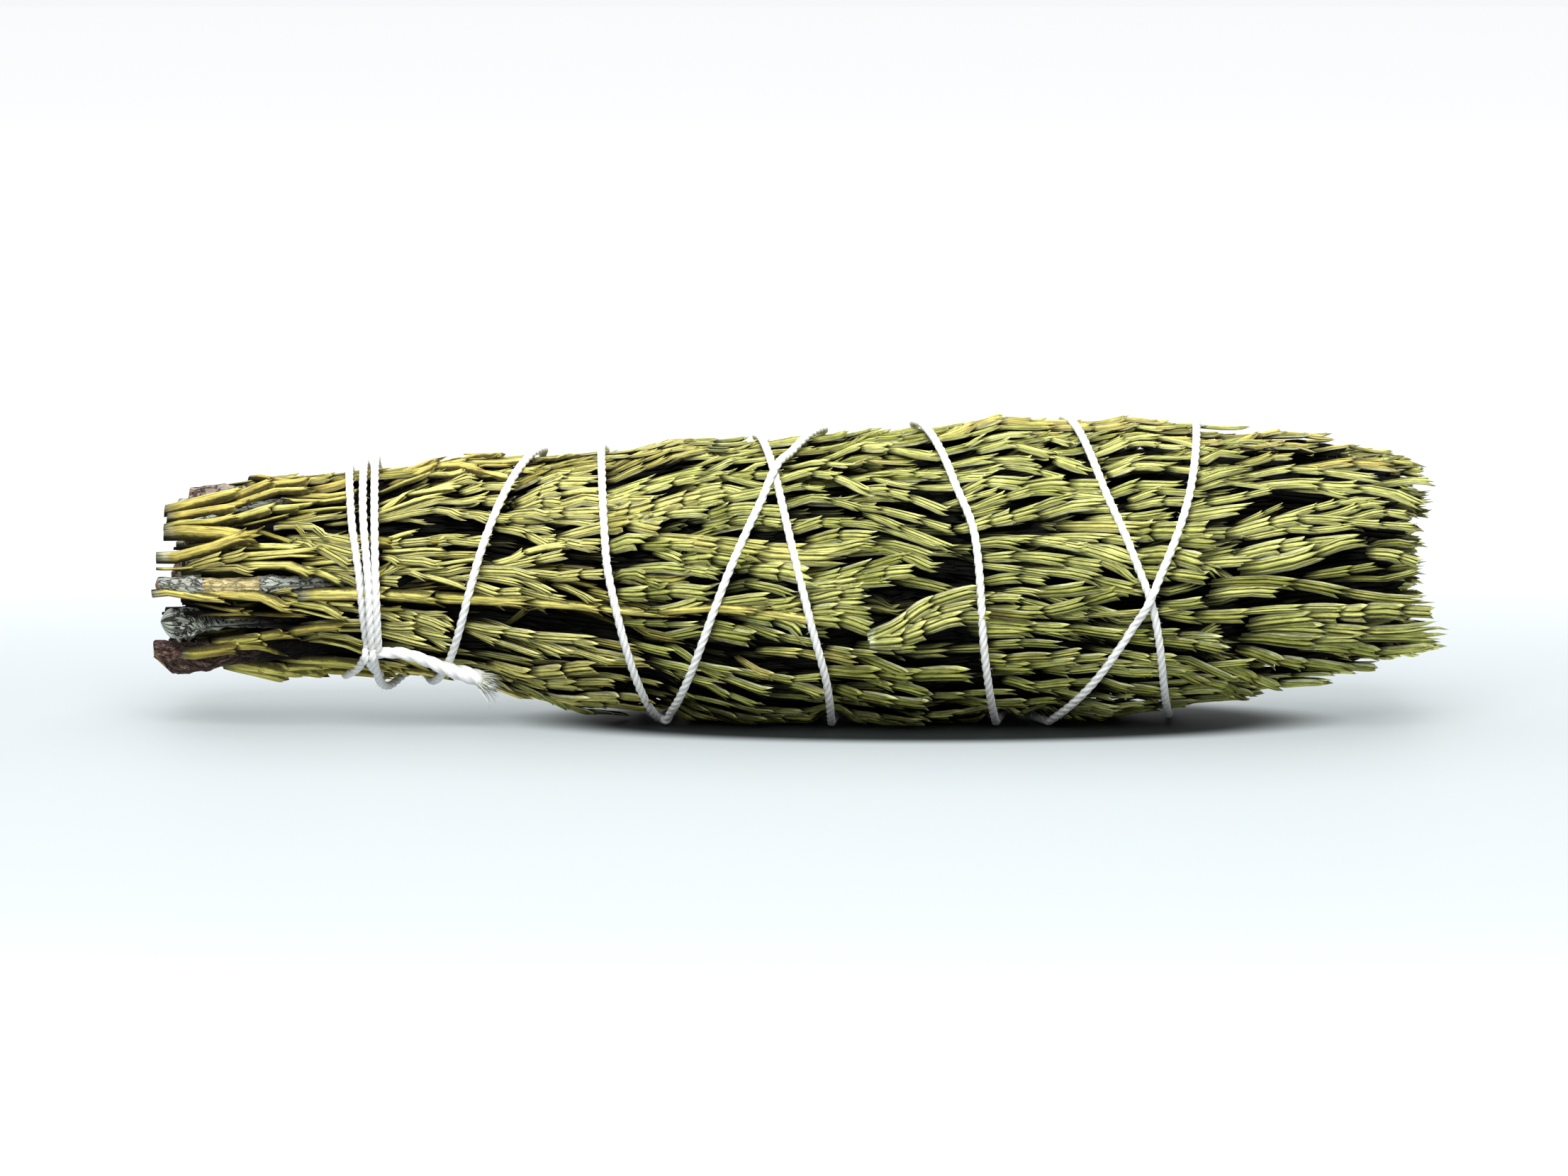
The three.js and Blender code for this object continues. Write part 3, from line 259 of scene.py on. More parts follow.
# More twigs on top at the front, spray by spray: joint, half width, tone, age, and where they run.
COVER_TWIGS = {
    "butt_spray_1": [
        [8, 1.4, 0.6, 0.35, [[-69.4, 63], [-66.8, 64], [-63.8, 65], [-60.7, 66], [-58.1, 63], [-55.1, 65]]],
        [6, 0.8, 0.5, 0.4, [[-60.2, 60], [-57.1, 58], [-55.3, 61], [-53.8, 59], [-52, 57]]],
        [9, 0.7, 0.55, 0.2, [[-69.9, 50], [-67.3, 52], [-64.3, 53], [-61.2, 54], [-58.6, 55], [-55.6, 57]]],
        [8, 0.8, 0.6, 0.1, [[-69.9, 45], [-67.8, 46], [-66.1, 50], [-63.8, 52], [-60.7, 52], [-57.1, 52]]],
        [8, 0.7, 0.6, 0.1, [[-69.6, 43], [-67.3, 44], [-65.3, 45], [-63.2, 48], [-60.7, 48], [-58.1, 48]]],
        [7, 0.6, 0.6, 0.1, [[-69.4, 40], [-66.3, 41], [-63.8, 42], [-61.7, 44], [-59.2, 45]]],
        [6, 0.7, 0.6, 0.1, [[-69.4, 37], [-66.8, 38], [-64.3, 38], [-61.5, 38]]],
        [6, 0.5, 0.55, 0.15, [[-66.3, 38], [-64.3, 37], [-63, 34], [-61.2, 32]]],
        [7, 0.9, 0.6, 0.15, [[-62.2, 43], [-59.7, 41], [-57.6, 39], [-55.8, 36], [-54.3, 35]]],
        [6, 1, 0.6, 0.1, [[-61.2, 47], [-58.6, 46], [-55.3, 45], [-53, 46]]],
        [9, 0.6, 0.5, 0.15, [[-69.4, 25], [-66.8, 26], [-64.3, 27], [-62.2, 27]]],
        [5, 0.8, 0.6, 0.1, [[-69.1, 22], [-66.8, 22], [-64.3, 22], [-61.2, 22]]],
        [6, 0.7, 0.65, 0.1, [[-61.7, 24], [-59.7, 24], [-57.6, 25], [-55.3, 24]]],
        [6, 0.8, 0.65, 0.1, [[-61.5, 21], [-58.6, 22], [-56.1, 22], [-52.5, 21]]],
        [9, 0.4, 0.7, 0.2, [[-69.1, 19], [-65.8, 18], [-62.5, 18], [-58.6, 17]]],
        [8, 1.2, 0.55, 0.4, [[-55.6, 74], [-51, 67], [-46.6, 57]]],
        [6, 1.2, 0.6, 0.3, [[-51, 72], [-46.9, 70], [-43.1, 65]]],
        [6, 1.2, 0.6, 0.3, [[-41.3, 68], [-32.6, 69]]],
        [6, 1.3, 0.6, 0.2, [[-44.3, 63], [-38.2, 62], [-32.3, 64]]],
        [6, 1, 0.65, 0.2, [[-43.3, 55], [-38.2, 59], [-32.3, 58]]],
        [6, 1.2, 0.7, 0.1, [[-45.1, 52], [-38.2, 54], [-33.8, 53]]],
        [6, 1.1, 0.65, 0.2, [[-56.6, 55], [-51, 55], [-46.6, 53]]],
        [5, 1.6, 0.65, 0.2, [[-56.6, 48], [-48.2, 45]]],
        [5, 1.3, 0.7, 0.15, [[-46.6, 46], [-43.3, 48], [-39, 49]]],
        [5, 1.1, 0.65, 0.15, [[-46.6, 43], [-42.8, 44], [-37.9, 42]]],
        [8, 0.9, 0.7, 0.1, [[-40, 50], [-32.3, 49]]],
        [6, 1.3, 0.65, 0.1, [[-40, 43], [-35.6, 45], [-31.8, 43]]],
        [6, 1.1, 0.65, 0.2, [[-31.5, 62], [-26.7, 65], [-21.6, 69], [-15.2, 73]]],
        [6, 0.8, 0.65, 0.1, [[-31.8, 45], [-28, 45], [-23.9, 44]]],
        [4.5, 1.5, 0.65, 0.1, [[-31.5, 38], [-26.7, 38], [-21.6, 41], [-15.2, 44]]],
        [4.5, 1.6, 0.6, 0.2, [[-31.5, 32], [-27.5, 32], [-23.1, 29]]],
        [5, 1, 0.65, 0.15, [[-56.6, 39], [-54, 38], [-51.2, 33]]],
        [5, 1.1, 0.65, 0.15, [[-52.5, 38], [-50.2, 36], [-47.9, 34]]],
        [5, 1.2, 0.65, 0.15, [[-48.2, 38], [-45.1, 39], [-41.5, 35]]],
        [5, 1.3, 0.65, 0.1, [[-43.3, 39], [-38.7, 37], [-32.3, 37]]],
        [6, 0.8, 0.65, 0.1, [[-41.8, 35], [-38.2, 34], [-34.1, 32]]],
        [5, 1.2, 0.65, 0.1, [[-49.4, 32], [-45.9, 29], [-43.3, 25], [-40.8, 21]]],
        [6, 0.9, 0.65, 0.1, [[-46.4, 31], [-42, 29], [-39, 26]]],
        [6, 1.2, 0.65, 0.1, [[-40, 26], [-35.6, 28], [-31.3, 30]]],
        [5, 1.1, 0.6, 0.1, [[-44.6, 26], [-39.5, 24], [-34.1, 21]]],
        [6, 1.2, 0.6, 0.1, [[-39.5, 24], [-35.6, 23], [-31.3, 22]]],
        [6, 1.7, 0.6, 0.15, [[-56.6, 22], [-50.5, 23]]],
    ],
    "butt_spray_2": [
        [8, 2, 0.5, 0.55, [[-70.1, 79], [-67.3, 79], [-64.3, 82], [-61.7, 88], [-59.2, 91]]],
        [8, 2, 0.6, 0.45, [[-60.2, 88], [-56.9, 98], [-54, 98], [-50.5, 98]]],
        [10, 1.9, 0.55, 0.6, [[-68.9, 71], [-65.8, 73], [-63.2, 74], [-60.7, 77], [-58.1, 77], [-54.6, 73], [-51.2, 66]]],
        [7, 1.3, 0.65, 0.3, [[-56.6, 87], [-51, 98], [-44.3, 98]]],
        [9, 1, 0.6, 0.5, [[-56.6, 78], [-49.7, 78], [-45.6, 75]]],
        [8, 1.4, 0.7, 0.1, [[-43.8, 89], [-37.4, 84]]],
        [6, 1.1, 0.65, 0.3, [[-37.4, 87], [-32.6, 75]]],
        [6, 1.1, 0.7, 0.3, [[-32.1, 73], [-28, 79], [-22.9, 86], [-17.2, 92]]],
        [6, 1.1, 0.65, 0.3, [[-32.1, 68], [-26.7, 72], [-20.3, 78], [-15.2, 79]]],
    ],
    "butt_spray_6": [
        [7, 1.6, 0.3, 0.2, [[-68.4, -53], [-64.8, -51], [-62.2, -54], [-59.7, -60]]],
        [6, 1.4, 0.2, 0.2, [[-46.4, -57], [-38.2, -48], [-31.3, -44]]],
        [7, 1.7, 0.2, 0.2, [[-42.5, -72], [-35.6, -59], [-28, -53], [-23.6, -49]]],
    ],
    "butt_spray_7": [
        [6, 0.6, 0.4, 0.1, [[-69.4, -19], [-67.3, -21], [-65.8, -22]]],
        [6, 0.8, 0.45, 0.05, [[-67.3, -20], [-64.3, -19], [-62.2, -20], [-60.2, -22], [-57.9, -25]]],
        [6, 0.7, 0.45, 0.05, [[-60.7, -19], [-58.6, -20], [-56.3, -23]]],
        [7, 0.8, 0.45, 0.1, [[-69.9, -27], [-67.3, -27], [-64.8, -25], [-63, -24]]],
        [7, 1.2, 0.35, 0.05, [[-69.9, -33], [-67.3, -32], [-64.3, -33], [-61.5, -35]]],
        [7, 0.9, 0.45, 0, [[-64.8, -28], [-62.2, -29], [-59.7, -29], [-56.6, -29]]],
        [7, 0.7, 0.4, 0.1, [[-62.7, -32], [-60.2, -35], [-58.4, -36], [-57.1, -36]]],
        [6, 1.1, 0.45, 0.15, [[-55.6, -24], [-49.7, -22], [-43.3, -21], [-36.4, -21]]],
        [6, 0.8, 0.4, 0.15, [[-55.3, -27], [-49.7, -28], [-42.8, -30]]],
        [5, 1.2, 0.45, 0.15, [[-44.6, -26], [-41.3, -26], [-37.7, -29]]],
        [5, 1.4, 0.45, 0.15, [[-38.4, -24], [-32.1, -24]]],
        [6, 1, 0.4, 0.2, [[-38.7, -29], [-35.1, -29], [-31.8, -31]]],
        [5, 1.2, 0.4, 0.15, [[-33.1, -25], [-26.9, -23]]],
        [6, 1.4, 0.35, 0.3, [[-33.6, -37], [-28.5, -32], [-25.7, -30]]],
        [6, 1.6, 0.3, 0.4, [[-50.2, -52], [-42, -42], [-36.9, -37], [-32.6, -35]]],
    ],
    "butt_spray_8": [
        [5, 0.7, 0.65, 0.1, [[-69.1, 16], [-67.3, 15], [-65.5, 11]]],
        [6, 0.6, 0.7, 0.1, [[-67.3, 16], [-64.3, 16], [-61.7, 16], [-59.4, 16]]],
        [6, 0.7, 0.7, 0.1, [[-67.3, 14], [-64.8, 13], [-62.2, 12], [-59.9, 10]]],
        [6, 0.6, 0.5, 0.4, [[-60.2, 14], [-57.6, 15], [-55.1, 15], [-52.5, 15]]],
        [8, 0.5, 0.6, 0.15, [[-60.2, 10], [-57.6, 11], [-55.1, 12], [-52.5, 13]]],
        [5, 0.5, 0.6, 0.15, [[-69.4, 5], [-67.6, 7], [-65.8, 10]]],
        [6, 1, 0.6, 0.1, [[-69.6, 2], [-67.8, 2], [-65.5, 2]]],
        [8, 0.4, 0.55, 0.1, [[-66.1, 9], [-63.8, 8], [-61.2, 8], [-58.1, 9]]],
        [6, 0.5, 0.55, 0.1, [[-66.6, 6], [-64.3, 7], [-62.5, 5], [-61.2, 3]]],
        [6, 0.7, 0.6, 0.1, [[-61.7, 6], [-58.6, 6], [-56.1, 8], [-53, 9]]],
        [9, 0.7, 0.55, 0.1, [[-62, 5], [-59.2, 3], [-56.9, 1], [-55.1, -1]]],
        [6, 0.6, 0.6, 0.1, [[-59.2, 4], [-56.1, 3], [-54, 4], [-52.8, 5]]],
        [13, 0.5, 0.6, 0.6, [[-69.6, -6], [-67.8, -7], [-66.1, -7]]],
        [9, 0.5, 0.35, 0.1, [[-69.6, -16], [-67.8, -16], [-65.8, -14]]],
        [7, 0.6, 0.45, 0.1, [[-67.3, -16], [-64.3, -17], [-61.2, -17], [-58.1, -16]]],
        [6, 1.1, 0.55, 0.2, [[-56.6, 12], [-52.8, 14]]],
        [9, 1.1, 0.65, 0.15, [[-51, 11], [-47.1, 14], [-44.6, 18], [-40.8, 21], [-37.4, 22]]],
        [6, 1.2, 0.6, 0.15, [[-50.2, 9], [-44.6, 13], [-39.5, 17], [-37.7, 18]]],
        [7, 1.3, 0.6, 0.15, [[-53.5, 7], [-47.1, 8], [-43.8, 6]]],
        [7, 1, 0.65, 0.15, [[-46.4, 9], [-42, 8], [-37.9, 8]]],
        [6, 1.1, 0.6, 0.1, [[-47.1, 5], [-42.8, 2], [-39.2, -2]]],
        [6, 0.9, 0.6, 0.1, [[-52.8, 4], [-47.1, 3], [-44.1, 1]]],
        [5, 1.3, 0.6, 0.1, [[-41.3, 6], [-35.6, 9], [-31, 10]]],
        [5, 1.2, 0.55, 0.15, [[-40, 3], [-36.1, 1], [-33.6, -3]]],
        [5, 1.2, 0.5, 0.1, [[-34.9, 1], [-29.8, 0]]],
        [5, 1.3, 0.6, 0.2, [[-54, 0], [-49.7, -3], [-45.4, -2]]],
        [5, 1.1, 0.6, 0.2, [[-46.4, -1], [-42, -2], [-39, -3]]],
        [9, 1.2, 0.55, 0.35, [[-55.3, -9], [-50.5, -7], [-46.9, -9]]],
    ],
    "belly_spray_2": [
        [6, 1.3, 0.3, 0.1, [[34.7, -40], [43.6, -40], [50.3, -40]]],
        [7, 1.6, 0.35, 0.3, [[4.8, -34], [12.9, -32], [20.6, -32], [28.8, -32]]],
        [5, 1.3, 0.5, 0.3, [[-17, -32], [-11.4, -34], [-5.2, -38]]],
        [6, 1.1, 0.4, 0.2, [[-5.5, -34], [0.2, -34], [4.8, -33]]],
        [6, 1.3, 0.35, 0.1, [[-17, -40], [-11.4, -44], [-5.7, -48]]],
        [6, 1.4, 0.4, 0.3, [[-0.9, -41], [2.7, -41], [5.5, -44]]],
        [6, 1.6, 0.3, 0.1, [[6, -43], [11.7, -44], [21.1, -47]]],
        [6, 1.1, 0.35, 0.1, [[11.1, -39], [18, -38], [22.1, -42]]],
        [6, 1.5, 0.35, 0.2, [[-24.6, -31], [-19, -30], [-16, -32]]],
    ],
    "belly_spray_3": [
        [6, 0.9, 0.6, 0.2, [[30.8, 11], [37.2, 9], [42.1, 7]]],
        [8, 1.2, 0.55, 0.15, [[39.3, 9], [46.2, 7], [51.3, 3], [57.2, -1]]],
        [5, 1.3, 0.6, 0.2, [[31.3, 4], [35.9, 6], [41.3, 5]]],
        [4.5, 0.9, 0.7, 0.3, [[34.9, 0], [38, 1], [40.5, 0]]],
        [5, 1.2, 0.7, 0.3, [[28.3, -4], [33.4, -2], [36.5, -2]]],
        [9, 1.7, 0.5, 0.2, [[40, 0], [44.9, 1], [49, 2]]],
        [6, 1.3, 0.3, 0.1, [[30.3, -8], [38.2, -9]]],
        [7, 1.7, 0.45, 0.1, [[28.3, -15], [33.4, -15], [38.2, -15]]],
        [7, 1.6, 0.45, 0.1, [[37.5, -15], [42.6, -15], [45.9, -17]]],
        [6, 1.2, 0.3, 0.2, [[31.3, -22], [37.2, -20], [43.9, -20]]],
        [6, 1.3, 0.35, 0.35, [[30.3, -28], [37.2, -26], [43.6, -25], [47.2, -24]]],
        [6, 1.5, 0.4, 0.2, [[32.9, -32], [41.1, -29], [48.7, -28], [52, -27]]],
        [9, 0.7, 0.4, 0, [[-9.3, 7], [-3.7, 5], [-0.1, 2]]],
        [5, 1.4, 0.6, 0.1, [[3.5, 6], [10.4, 8], [15.5, 9], [20.3, 9]]],
        [6, 0.9, 0.55, 0.1, [[0.7, 5], [7.8, 6], [14.7, 6]]],
        [5, 1.4, 0.65, 0.2, [[2.2, 0], [6.5, 3], [11.7, 4]]],
        [5, 1.2, 0.6, 0.15, [[4.8, -2], [9.1, -1], [11.9, -1]]],
        [5, 1.2, 0.55, 0.2, [[2.2, -6], [7.3, -4], [11.9, -5]]],
        [6, 1.3, 0.5, 0.2, [[2.7, -8], [7.8, -8], [11.9, -11]]],
        [9, 1.2, 0.6, 0.3, [[-13.7, -2], [-8.8, 0], [-5.2, 1]]],
        [10, 1.3, 0.55, 0.35, [[-7.5, -3], [-2.4, -3], [1.9, 0]]],
        [6, 1.3, 0.5, 0.2, [[-11.9, -5], [-6.2, -4], [0.7, -6]]],
        [7, 1.4, 0.5, 0.15, [[-10.1, -6], [-5, -7], [-0.4, -10], [1.7, -16]]],
        [6, 0.7, 0.5, 0.15, [[-15.2, -9], [-10.1, -11], [-6.2, -14]]],
        [4.5, 1.5, 0.5, 0.3, [[-14.9, -14], [-11.4, -14], [-8.3, -15]]],
        [6, 0.9, 0.45, 0.15, [[-8, -11], [-3.7, -14], [-1.1, -16], [3, -18]]],
        [6, 0.9, 0.5, 0.4, [[4.8, -22], [10.4, -22], [14, -22]]],
        [6, 1.1, 0.5, 0.1, [[10.6, -21], [15.5, -19], [20.6, -18]]],
        [5, 1.4, 0.3, 0.6, [[4.8, -26], [9.6, -26]]],
        [6, 1.2, 0.35, 0.1, [[9.9, -26], [14.2, -28], [18.6, -32]]],
        [6, 1.2, 0.45, 0.2, [[-17, -29], [-11.4, -29], [-4.4, -31]]],
        [5, 1.1, 0.4, 0.9, [[-10.6, -24], [-6.8, -28], [-3.4, -31]]],
        [6, 0.9, 0.4, 0.4, [[-5.5, -22], [0.2, -22], [4.8, -24]]],
        [4.5, 1.5, 0.6, 0.1, [[-30.3, 8], [-27.5, 11], [-24.9, 9]]],
        [5, 1, 0.55, 0.2, [[-26.4, 9], [-22.1, 6]]],
        [5, 1.5, 0.55, 0.1, [[-30.3, 1], [-26.7, 2], [-23.9, 3]]],
        [5, 1.4, 0.6, 0.1, [[-25.2, 2], [-20.3, 4], [-15.2, 3]]],
        [9, 1.5, 0.5, 0.3, [[-25.9, -6], [-20.3, -4], [-14.7, 0]]],
        [6, 1, 0.5, 0.2, [[-29.8, -13], [-24.1, -10], [-20.6, -9]]],
        [6, 0.9, 0.5, 0.2, [[-21.6, -11], [-16, -9]]],
        [6, 1.3, 0.4, 0.15, [[-23.4, -19], [-19, -14], [-15.7, -12]]],
        [6, 1.4, 0.4, 0.15, [[-28, -23], [-22.9, -22], [-19.8, -22]]],
        [6, 1.2, 0.4, 0.2, [[-20.8, -21], [-16.7, -26]]],
    ],
    "belly_spray_4": [
        [6, 0.8, 0.75, 0.15, [[29.8, 52], [35.9, 50], [41.1, 47], [45.1, 44]]],
        [6, 1.1, 0.75, 0.1, [[24.7, 48], [31.3, 46]]],
        [6, 1.3, 0.7, 0.1, [[27.2, 42], [32.1, 44], [37.5, 41]]],
        [6, 1.4, 0.75, 0.1, [[38, 42], [43.6, 42], [51.5, 41]]],
        [6, 0.9, 0.65, 0.15, [[37.5, 39], [43.6, 38], [51.5, 36]]],
        [5, 0.8, 0.7, 0.1, [[25.2, 37], [29.6, 38], [33.4, 39]]],
        [7, 1, 0.7, 0.1, [[28.3, 34], [33.4, 36], [40, 38]]],
        [5, 0.7, 0.7, 0.1, [[27.8, 32], [30.8, 32], [34.9, 33]]],
        [6, 0.8, 0.6, 0.3, [[39, 32], [42.3, 34], [46.4, 36]]],
        [4.5, 1.4, 0.7, 0.05, [[27.2, 26], [33.4, 28], [40.3, 30]]],
        [4.5, 1.2, 0.65, 0.15, [[30.3, 20], [33.9, 20], [37, 18]]],
        [6, 0.9, 0.7, 0.1, [[33.4, 22], [41.1, 19], [46.7, 16]]],
        [8, 1.1, 0.7, 0.1, [[37, 20], [43.6, 18], [50, 14], [55.6, 9]]],
        [6, 1.3, 0.65, 0.1, [[30.3, 14], [38.5, 14], [43.6, 12], [50.5, 9]]],
        [6, 1, 0.75, 0.1, [[-17.5, 50], [-11.4, 49], [-7.5, 45]]],
        [6, 1.3, 0.7, 0.1, [[-17, 44], [-10.1, 44], [-4.4, 45]]],
        [5, 1.4, 0.65, 0, [[-14.9, 38], [-8.8, 39], [-2.1, 36]]],
        [5, 1, 0.6, 0.1, [[-14.9, 33], [-7.5, 34], [-1.6, 31]]],
        [6, 1.4, 0.75, 0.1, [[-2.9, 54], [2.7, 53], [7.3, 48], [12.2, 39]]],
        [6, 0.8, 0.7, 0.1, [[-4.2, 47], [1.4, 46], [5.5, 43]]],
        [6, 1.2, 0.7, 0.1, [[-1.6, 41], [3.2, 41], [7.8, 37], [11.1, 33]]],
        [6, 1, 0.75, 0.1, [[7.3, 49], [12.9, 47], [18, 44], [26.2, 42]]],
        [5, 1.5, 0.7, 0.1, [[9.9, 44], [15.5, 41], [20.6, 37], [24.9, 32]]],
        [6, 1.3, 0.7, 0.1, [[9.4, 37], [14.2, 33], [20.6, 29], [25.7, 25]]],
        [7, 1.2, 0.7, 0.1, [[10.6, 34], [16.8, 26], [21.9, 21], [26, 17]]],
        [7, 0.7, 0.65, 0.1, [[7.3, 30], [12.9, 26], [18, 22], [22.9, 18]]],
        [4.5, 1.3, 0.6, 0.3, [[-0.6, 29], [4, 30], [8.1, 28]]],
        [8, 1.4, 0.65, 0.45, [[1.4, 24], [7.8, 24], [13.4, 22]]],
        [8, 0.9, 0.55, 0.4, [[2.2, 22], [9.1, 20], [13.4, 18]]],
        [8, 1.2, 0.65, 0.15, [[12.4, 21], [18, 18], [22.9, 14]]],
        [8, 1.2, 0.65, 0.15, [[12.7, 19], [18, 15], [22.1, 10]]],
        [4.5, 1.4, 0.65, 0.1, [[-17.7, 18], [-13.7, 18], [-9.1, 16]]],
        [6, 1, 0.65, 0.15, [[-18.3, 14], [-12.1, 10]]],
        [5, 1.5, 0.65, 0.05, [[-8, 13], [-2.4, 12], [3, 9]]],
        [4.5, 1.2, 0.5, 0, [[2.2, 8], [7.8, 10], [12.9, 12], [17.3, 14]]],
        [5, 1.3, 0.65, 0.1, [[-31, 35], [-25.4, 35], [-20.3, 37], [-15.2, 38]]],
        [6, 1.8, 0.55, 0.1, [[-31, 22], [-27.5, 24], [-24.1, 22]]],
        [5, 0.9, 0.6, 0.2, [[-24.9, 23], [-21.1, 22], [-17.2, 22]]],
        [5, 0.9, 0.6, 0.2, [[-24.1, 21], [-20.8, 18], [-18.3, 15]]],
        [8, 0.8, 0.5, 0.6, [[-22.1, 25], [-15.4, 25]]],
        [6, 0.9, 0.6, 0.1, [[-25.9, 13], [-21.6, 13], [-18.5, 12]]],
        [6, 0.9, 0.6, 0.15, [[-19.5, 13], [-14.7, 11]]],
    ],
    "belly_spray_5": [
        [6, 1.2, 0.6, 0.6, [[25.7, 80], [33.4, 82], [43.6, 76]]],
        [6, 1.2, 0.8, 0.1, [[26.2, 68], [33.4, 70], [38, 71]]],
        [6, 1.2, 0.8, 0.1, [[37.5, 70], [43.1, 70], [46.7, 63]]],
        [6, 1.2, 0.75, 0.1, [[30.8, 65], [37.2, 61], [43.6, 56], [48.2, 50]]],
        [6, 0.9, 0.75, 0.1, [[38, 62], [43.6, 54], [49.5, 47]]],
        [6, 1.1, 0.7, 0.15, [[25.7, 56], [32.1, 54], [39.3, 51]]],
        [5, 1.1, 0.7, 0.2, [[-17.7, 71], [-13.9, 77], [-10.1, 80]]],
        [6, 0.9, 0.7, 0.2, [[-17.7, 65], [-11.4, 71], [-6, 76]]],
        [6, 1, 0.75, 0.1, [[-15.2, 62], [-10.1, 66], [-4.4, 66]]],
        [7, 1, 0.7, 0.2, [[-11.1, 57], [-7.5, 61], [-5.2, 61]]],
        [7, 0.9, 0.7, 0.2, [[-6.2, 62], [-3.4, 53]]],
        [6, 1, 0.75, 0.1, [[-17, 56], [-11.4, 54], [-5.2, 48]]],
        [6, 1.2, 0.75, 0.15, [[-1.1, 64], [4, 61], [9.9, 54]]],
        [6, 1.7, 0.7, 0.2, [[4.8, 67], [11.7, 65], [18, 63], [22.6, 58]]],
        [6, 0.8, 0.6, 0.6, [[7.3, 58], [14.2, 56], [18.6, 55]]],
        [8, 1.2, 0.75, 0.1, [[11.9, 52], [18, 51], [26.2, 48]]],
        [6, 1.2, 0.7, 0.2, [[-31, 52], [-26.7, 53], [-21.6, 55], [-16.2, 57]]],
        [6, 1.1, 0.7, 0.1, [[-31, 48], [-25.4, 50], [-20.3, 52], [-15.4, 53]]],
    ],
    "tip_spray_3": [
        [7, 1.5, 0.45, 0.1, [[44.9, -15], [49.2, -16], [53.1, -17]]],
        [7, 1.3, 0.4, 0.2, [[51.3, -17], [57.7, -18], [63.8, -19]]],
        [6, 1.2, 0.4, 0.2, [[53.3, -21], [60.2, -22], [65.3, -25], [72, -30]]],
        [6, 1.4, 0.4, 0.2, [[53.8, -29], [58.9, -29], [63.8, -30]]],
        [6, 1.2, 0.4, 0.1, [[40.5, -34], [46.2, -34], [51, -33]]],
        [6, 1.3, 0.4, 0.1, [[51.8, -38], [58.9, -37], [65.3, -40]]],
        [6, 1.5, 0.4, 0.2, [[63.6, -33], [67.9, -38], [72.5, -46]]],
        [6, 1.6, 0.3, 0.2, [[62.3, -40], [67.9, -48], [72.2, -53]]],
        [6, 1.3, 0.2, 0.1, [[49.5, -42], [56.4, -46], [61.8, -50]]],
    ],
    "tip_spray_4": [
        [8, 1.1, 0.5, 0.4, [[45.1, 25], [50.3, 24], [55.9, 23]]],
        [6, 0.7, 0.65, 0.1, [[47.7, 28], [56.4, 28], [62, 30]]],
        [4.5, 1.5, 0.6, 0.15, [[55.4, 22], [61.5, 22], [67.9, 22]]],
        [5, 1.2, 0.5, 0.2, [[62.8, 19], [68.4, 17]]],
        [6, 0.8, 0.65, 0.15, [[43.1, 21], [51.3, 19], [56.9, 17]]],
        [8, 1.2, 0.7, 0.1, [[45.7, 17], [51.3, 15], [56.9, 10]]],
        [8, 0.9, 0.6, 0.2, [[46.9, 15], [52.6, 9], [56.1, 2]]],
        [4.5, 1.6, 0.6, 0.2, [[56.4, 12], [61.5, 12], [67.6, 8]]],
        [5, 1.1, 0.5, 0.3, [[56.9, 6], [62.8, 4], [67.4, 2]]],
        [9, 1, 0.3, 0.2, [[46.9, 1], [52.6, 0], [57.9, -3]]],
        [9, 0.7, 0.65, 0.35, [[42.1, -10], [48.7, -9], [55.6, -9]]],
        [6, 1.1, 0.5, 0.1, [[59.5, -8], [64.6, -8], [68.2, -7]]],
        [6, 1.3, 0.45, 0.3, [[60.7, -12], [66.6, -14], [73.3, -15]]],
    ],
    "tip_spray_5": [
        [9, 1.1, 0.75, 0.2, [[40.5, 29], [46.2, 32], [52.8, 33]]],
        [7, 0.8, 0.7, 0.2, [[45.7, 32], [52.8, 31]]],
        [6, 1.3, 0.85, 0.05, [[49.5, 67], [56.4, 69], [62.8, 70], [66.4, 64]]],
        [6, 1.1, 0.8, 0.1, [[49.5, 62], [57.7, 64], [65.6, 61]]],
        [6, 0.7, 0.7, 0.2, [[51.3, 54], [58.9, 56], [65.6, 56]]],
        [6, 1.2, 0.75, 0.15, [[51.3, 50], [57.7, 51], [66.9, 48]]],
        [6, 1.3, 0.7, 0.1, [[51.3, 40], [57.7, 42], [63.3, 41]]],
        [5, 0.8, 0.6, 0.2, [[55.1, 37], [60.2, 39], [66.9, 37]]],
        [6, 0.9, 0.65, 0.1, [[55.1, 34], [61.5, 35], [65.9, 34]]],
        [4.5, 1.6, 0.75, 0.3, [[67.4, 57], [70.5, 61], [73.5, 58]]],
        [7, 1, 0.8, 0.1, [[66.1, 45], [71.7, 48], [75.8, 50]]],
        [7, 0.9, 0.75, 0.1, [[66.1, 42], [71.7, 43], [77.9, 40]]],
        [5, 0.8, 0.75, 0.1, [[64.1, 33], [71.7, 35], [74.8, 36], [79.1, 38]]],
        [6, 1.3, 0.7, 0.1, [[64.6, 29], [72.8, 30]]],
    ],
    "tip_spray_6": [
        [6, 1.3, 0.6, 0.6, [[46.7, 75], [53.8, 79], [63.6, 85]]],
    ],
}
ROUTE_START = ROUTE[0][0]
ROUTE_END = ROUTE[-1][0]
TAIL = [
    [-39, -71, 0.95], [-37.5, -66.2, 1.05], [-40.6, -62.6, 1.1], [-45, -59.6, 1.15],
    [-48.5, -56.6, 1.3], [-50.5, -53.8, 1.55], [-54, -51.8, 1.6],
]
TAIL_OUT = 0.9
KNOT_ANGLE = math.radians(-39)
KNOT_X = -70.4

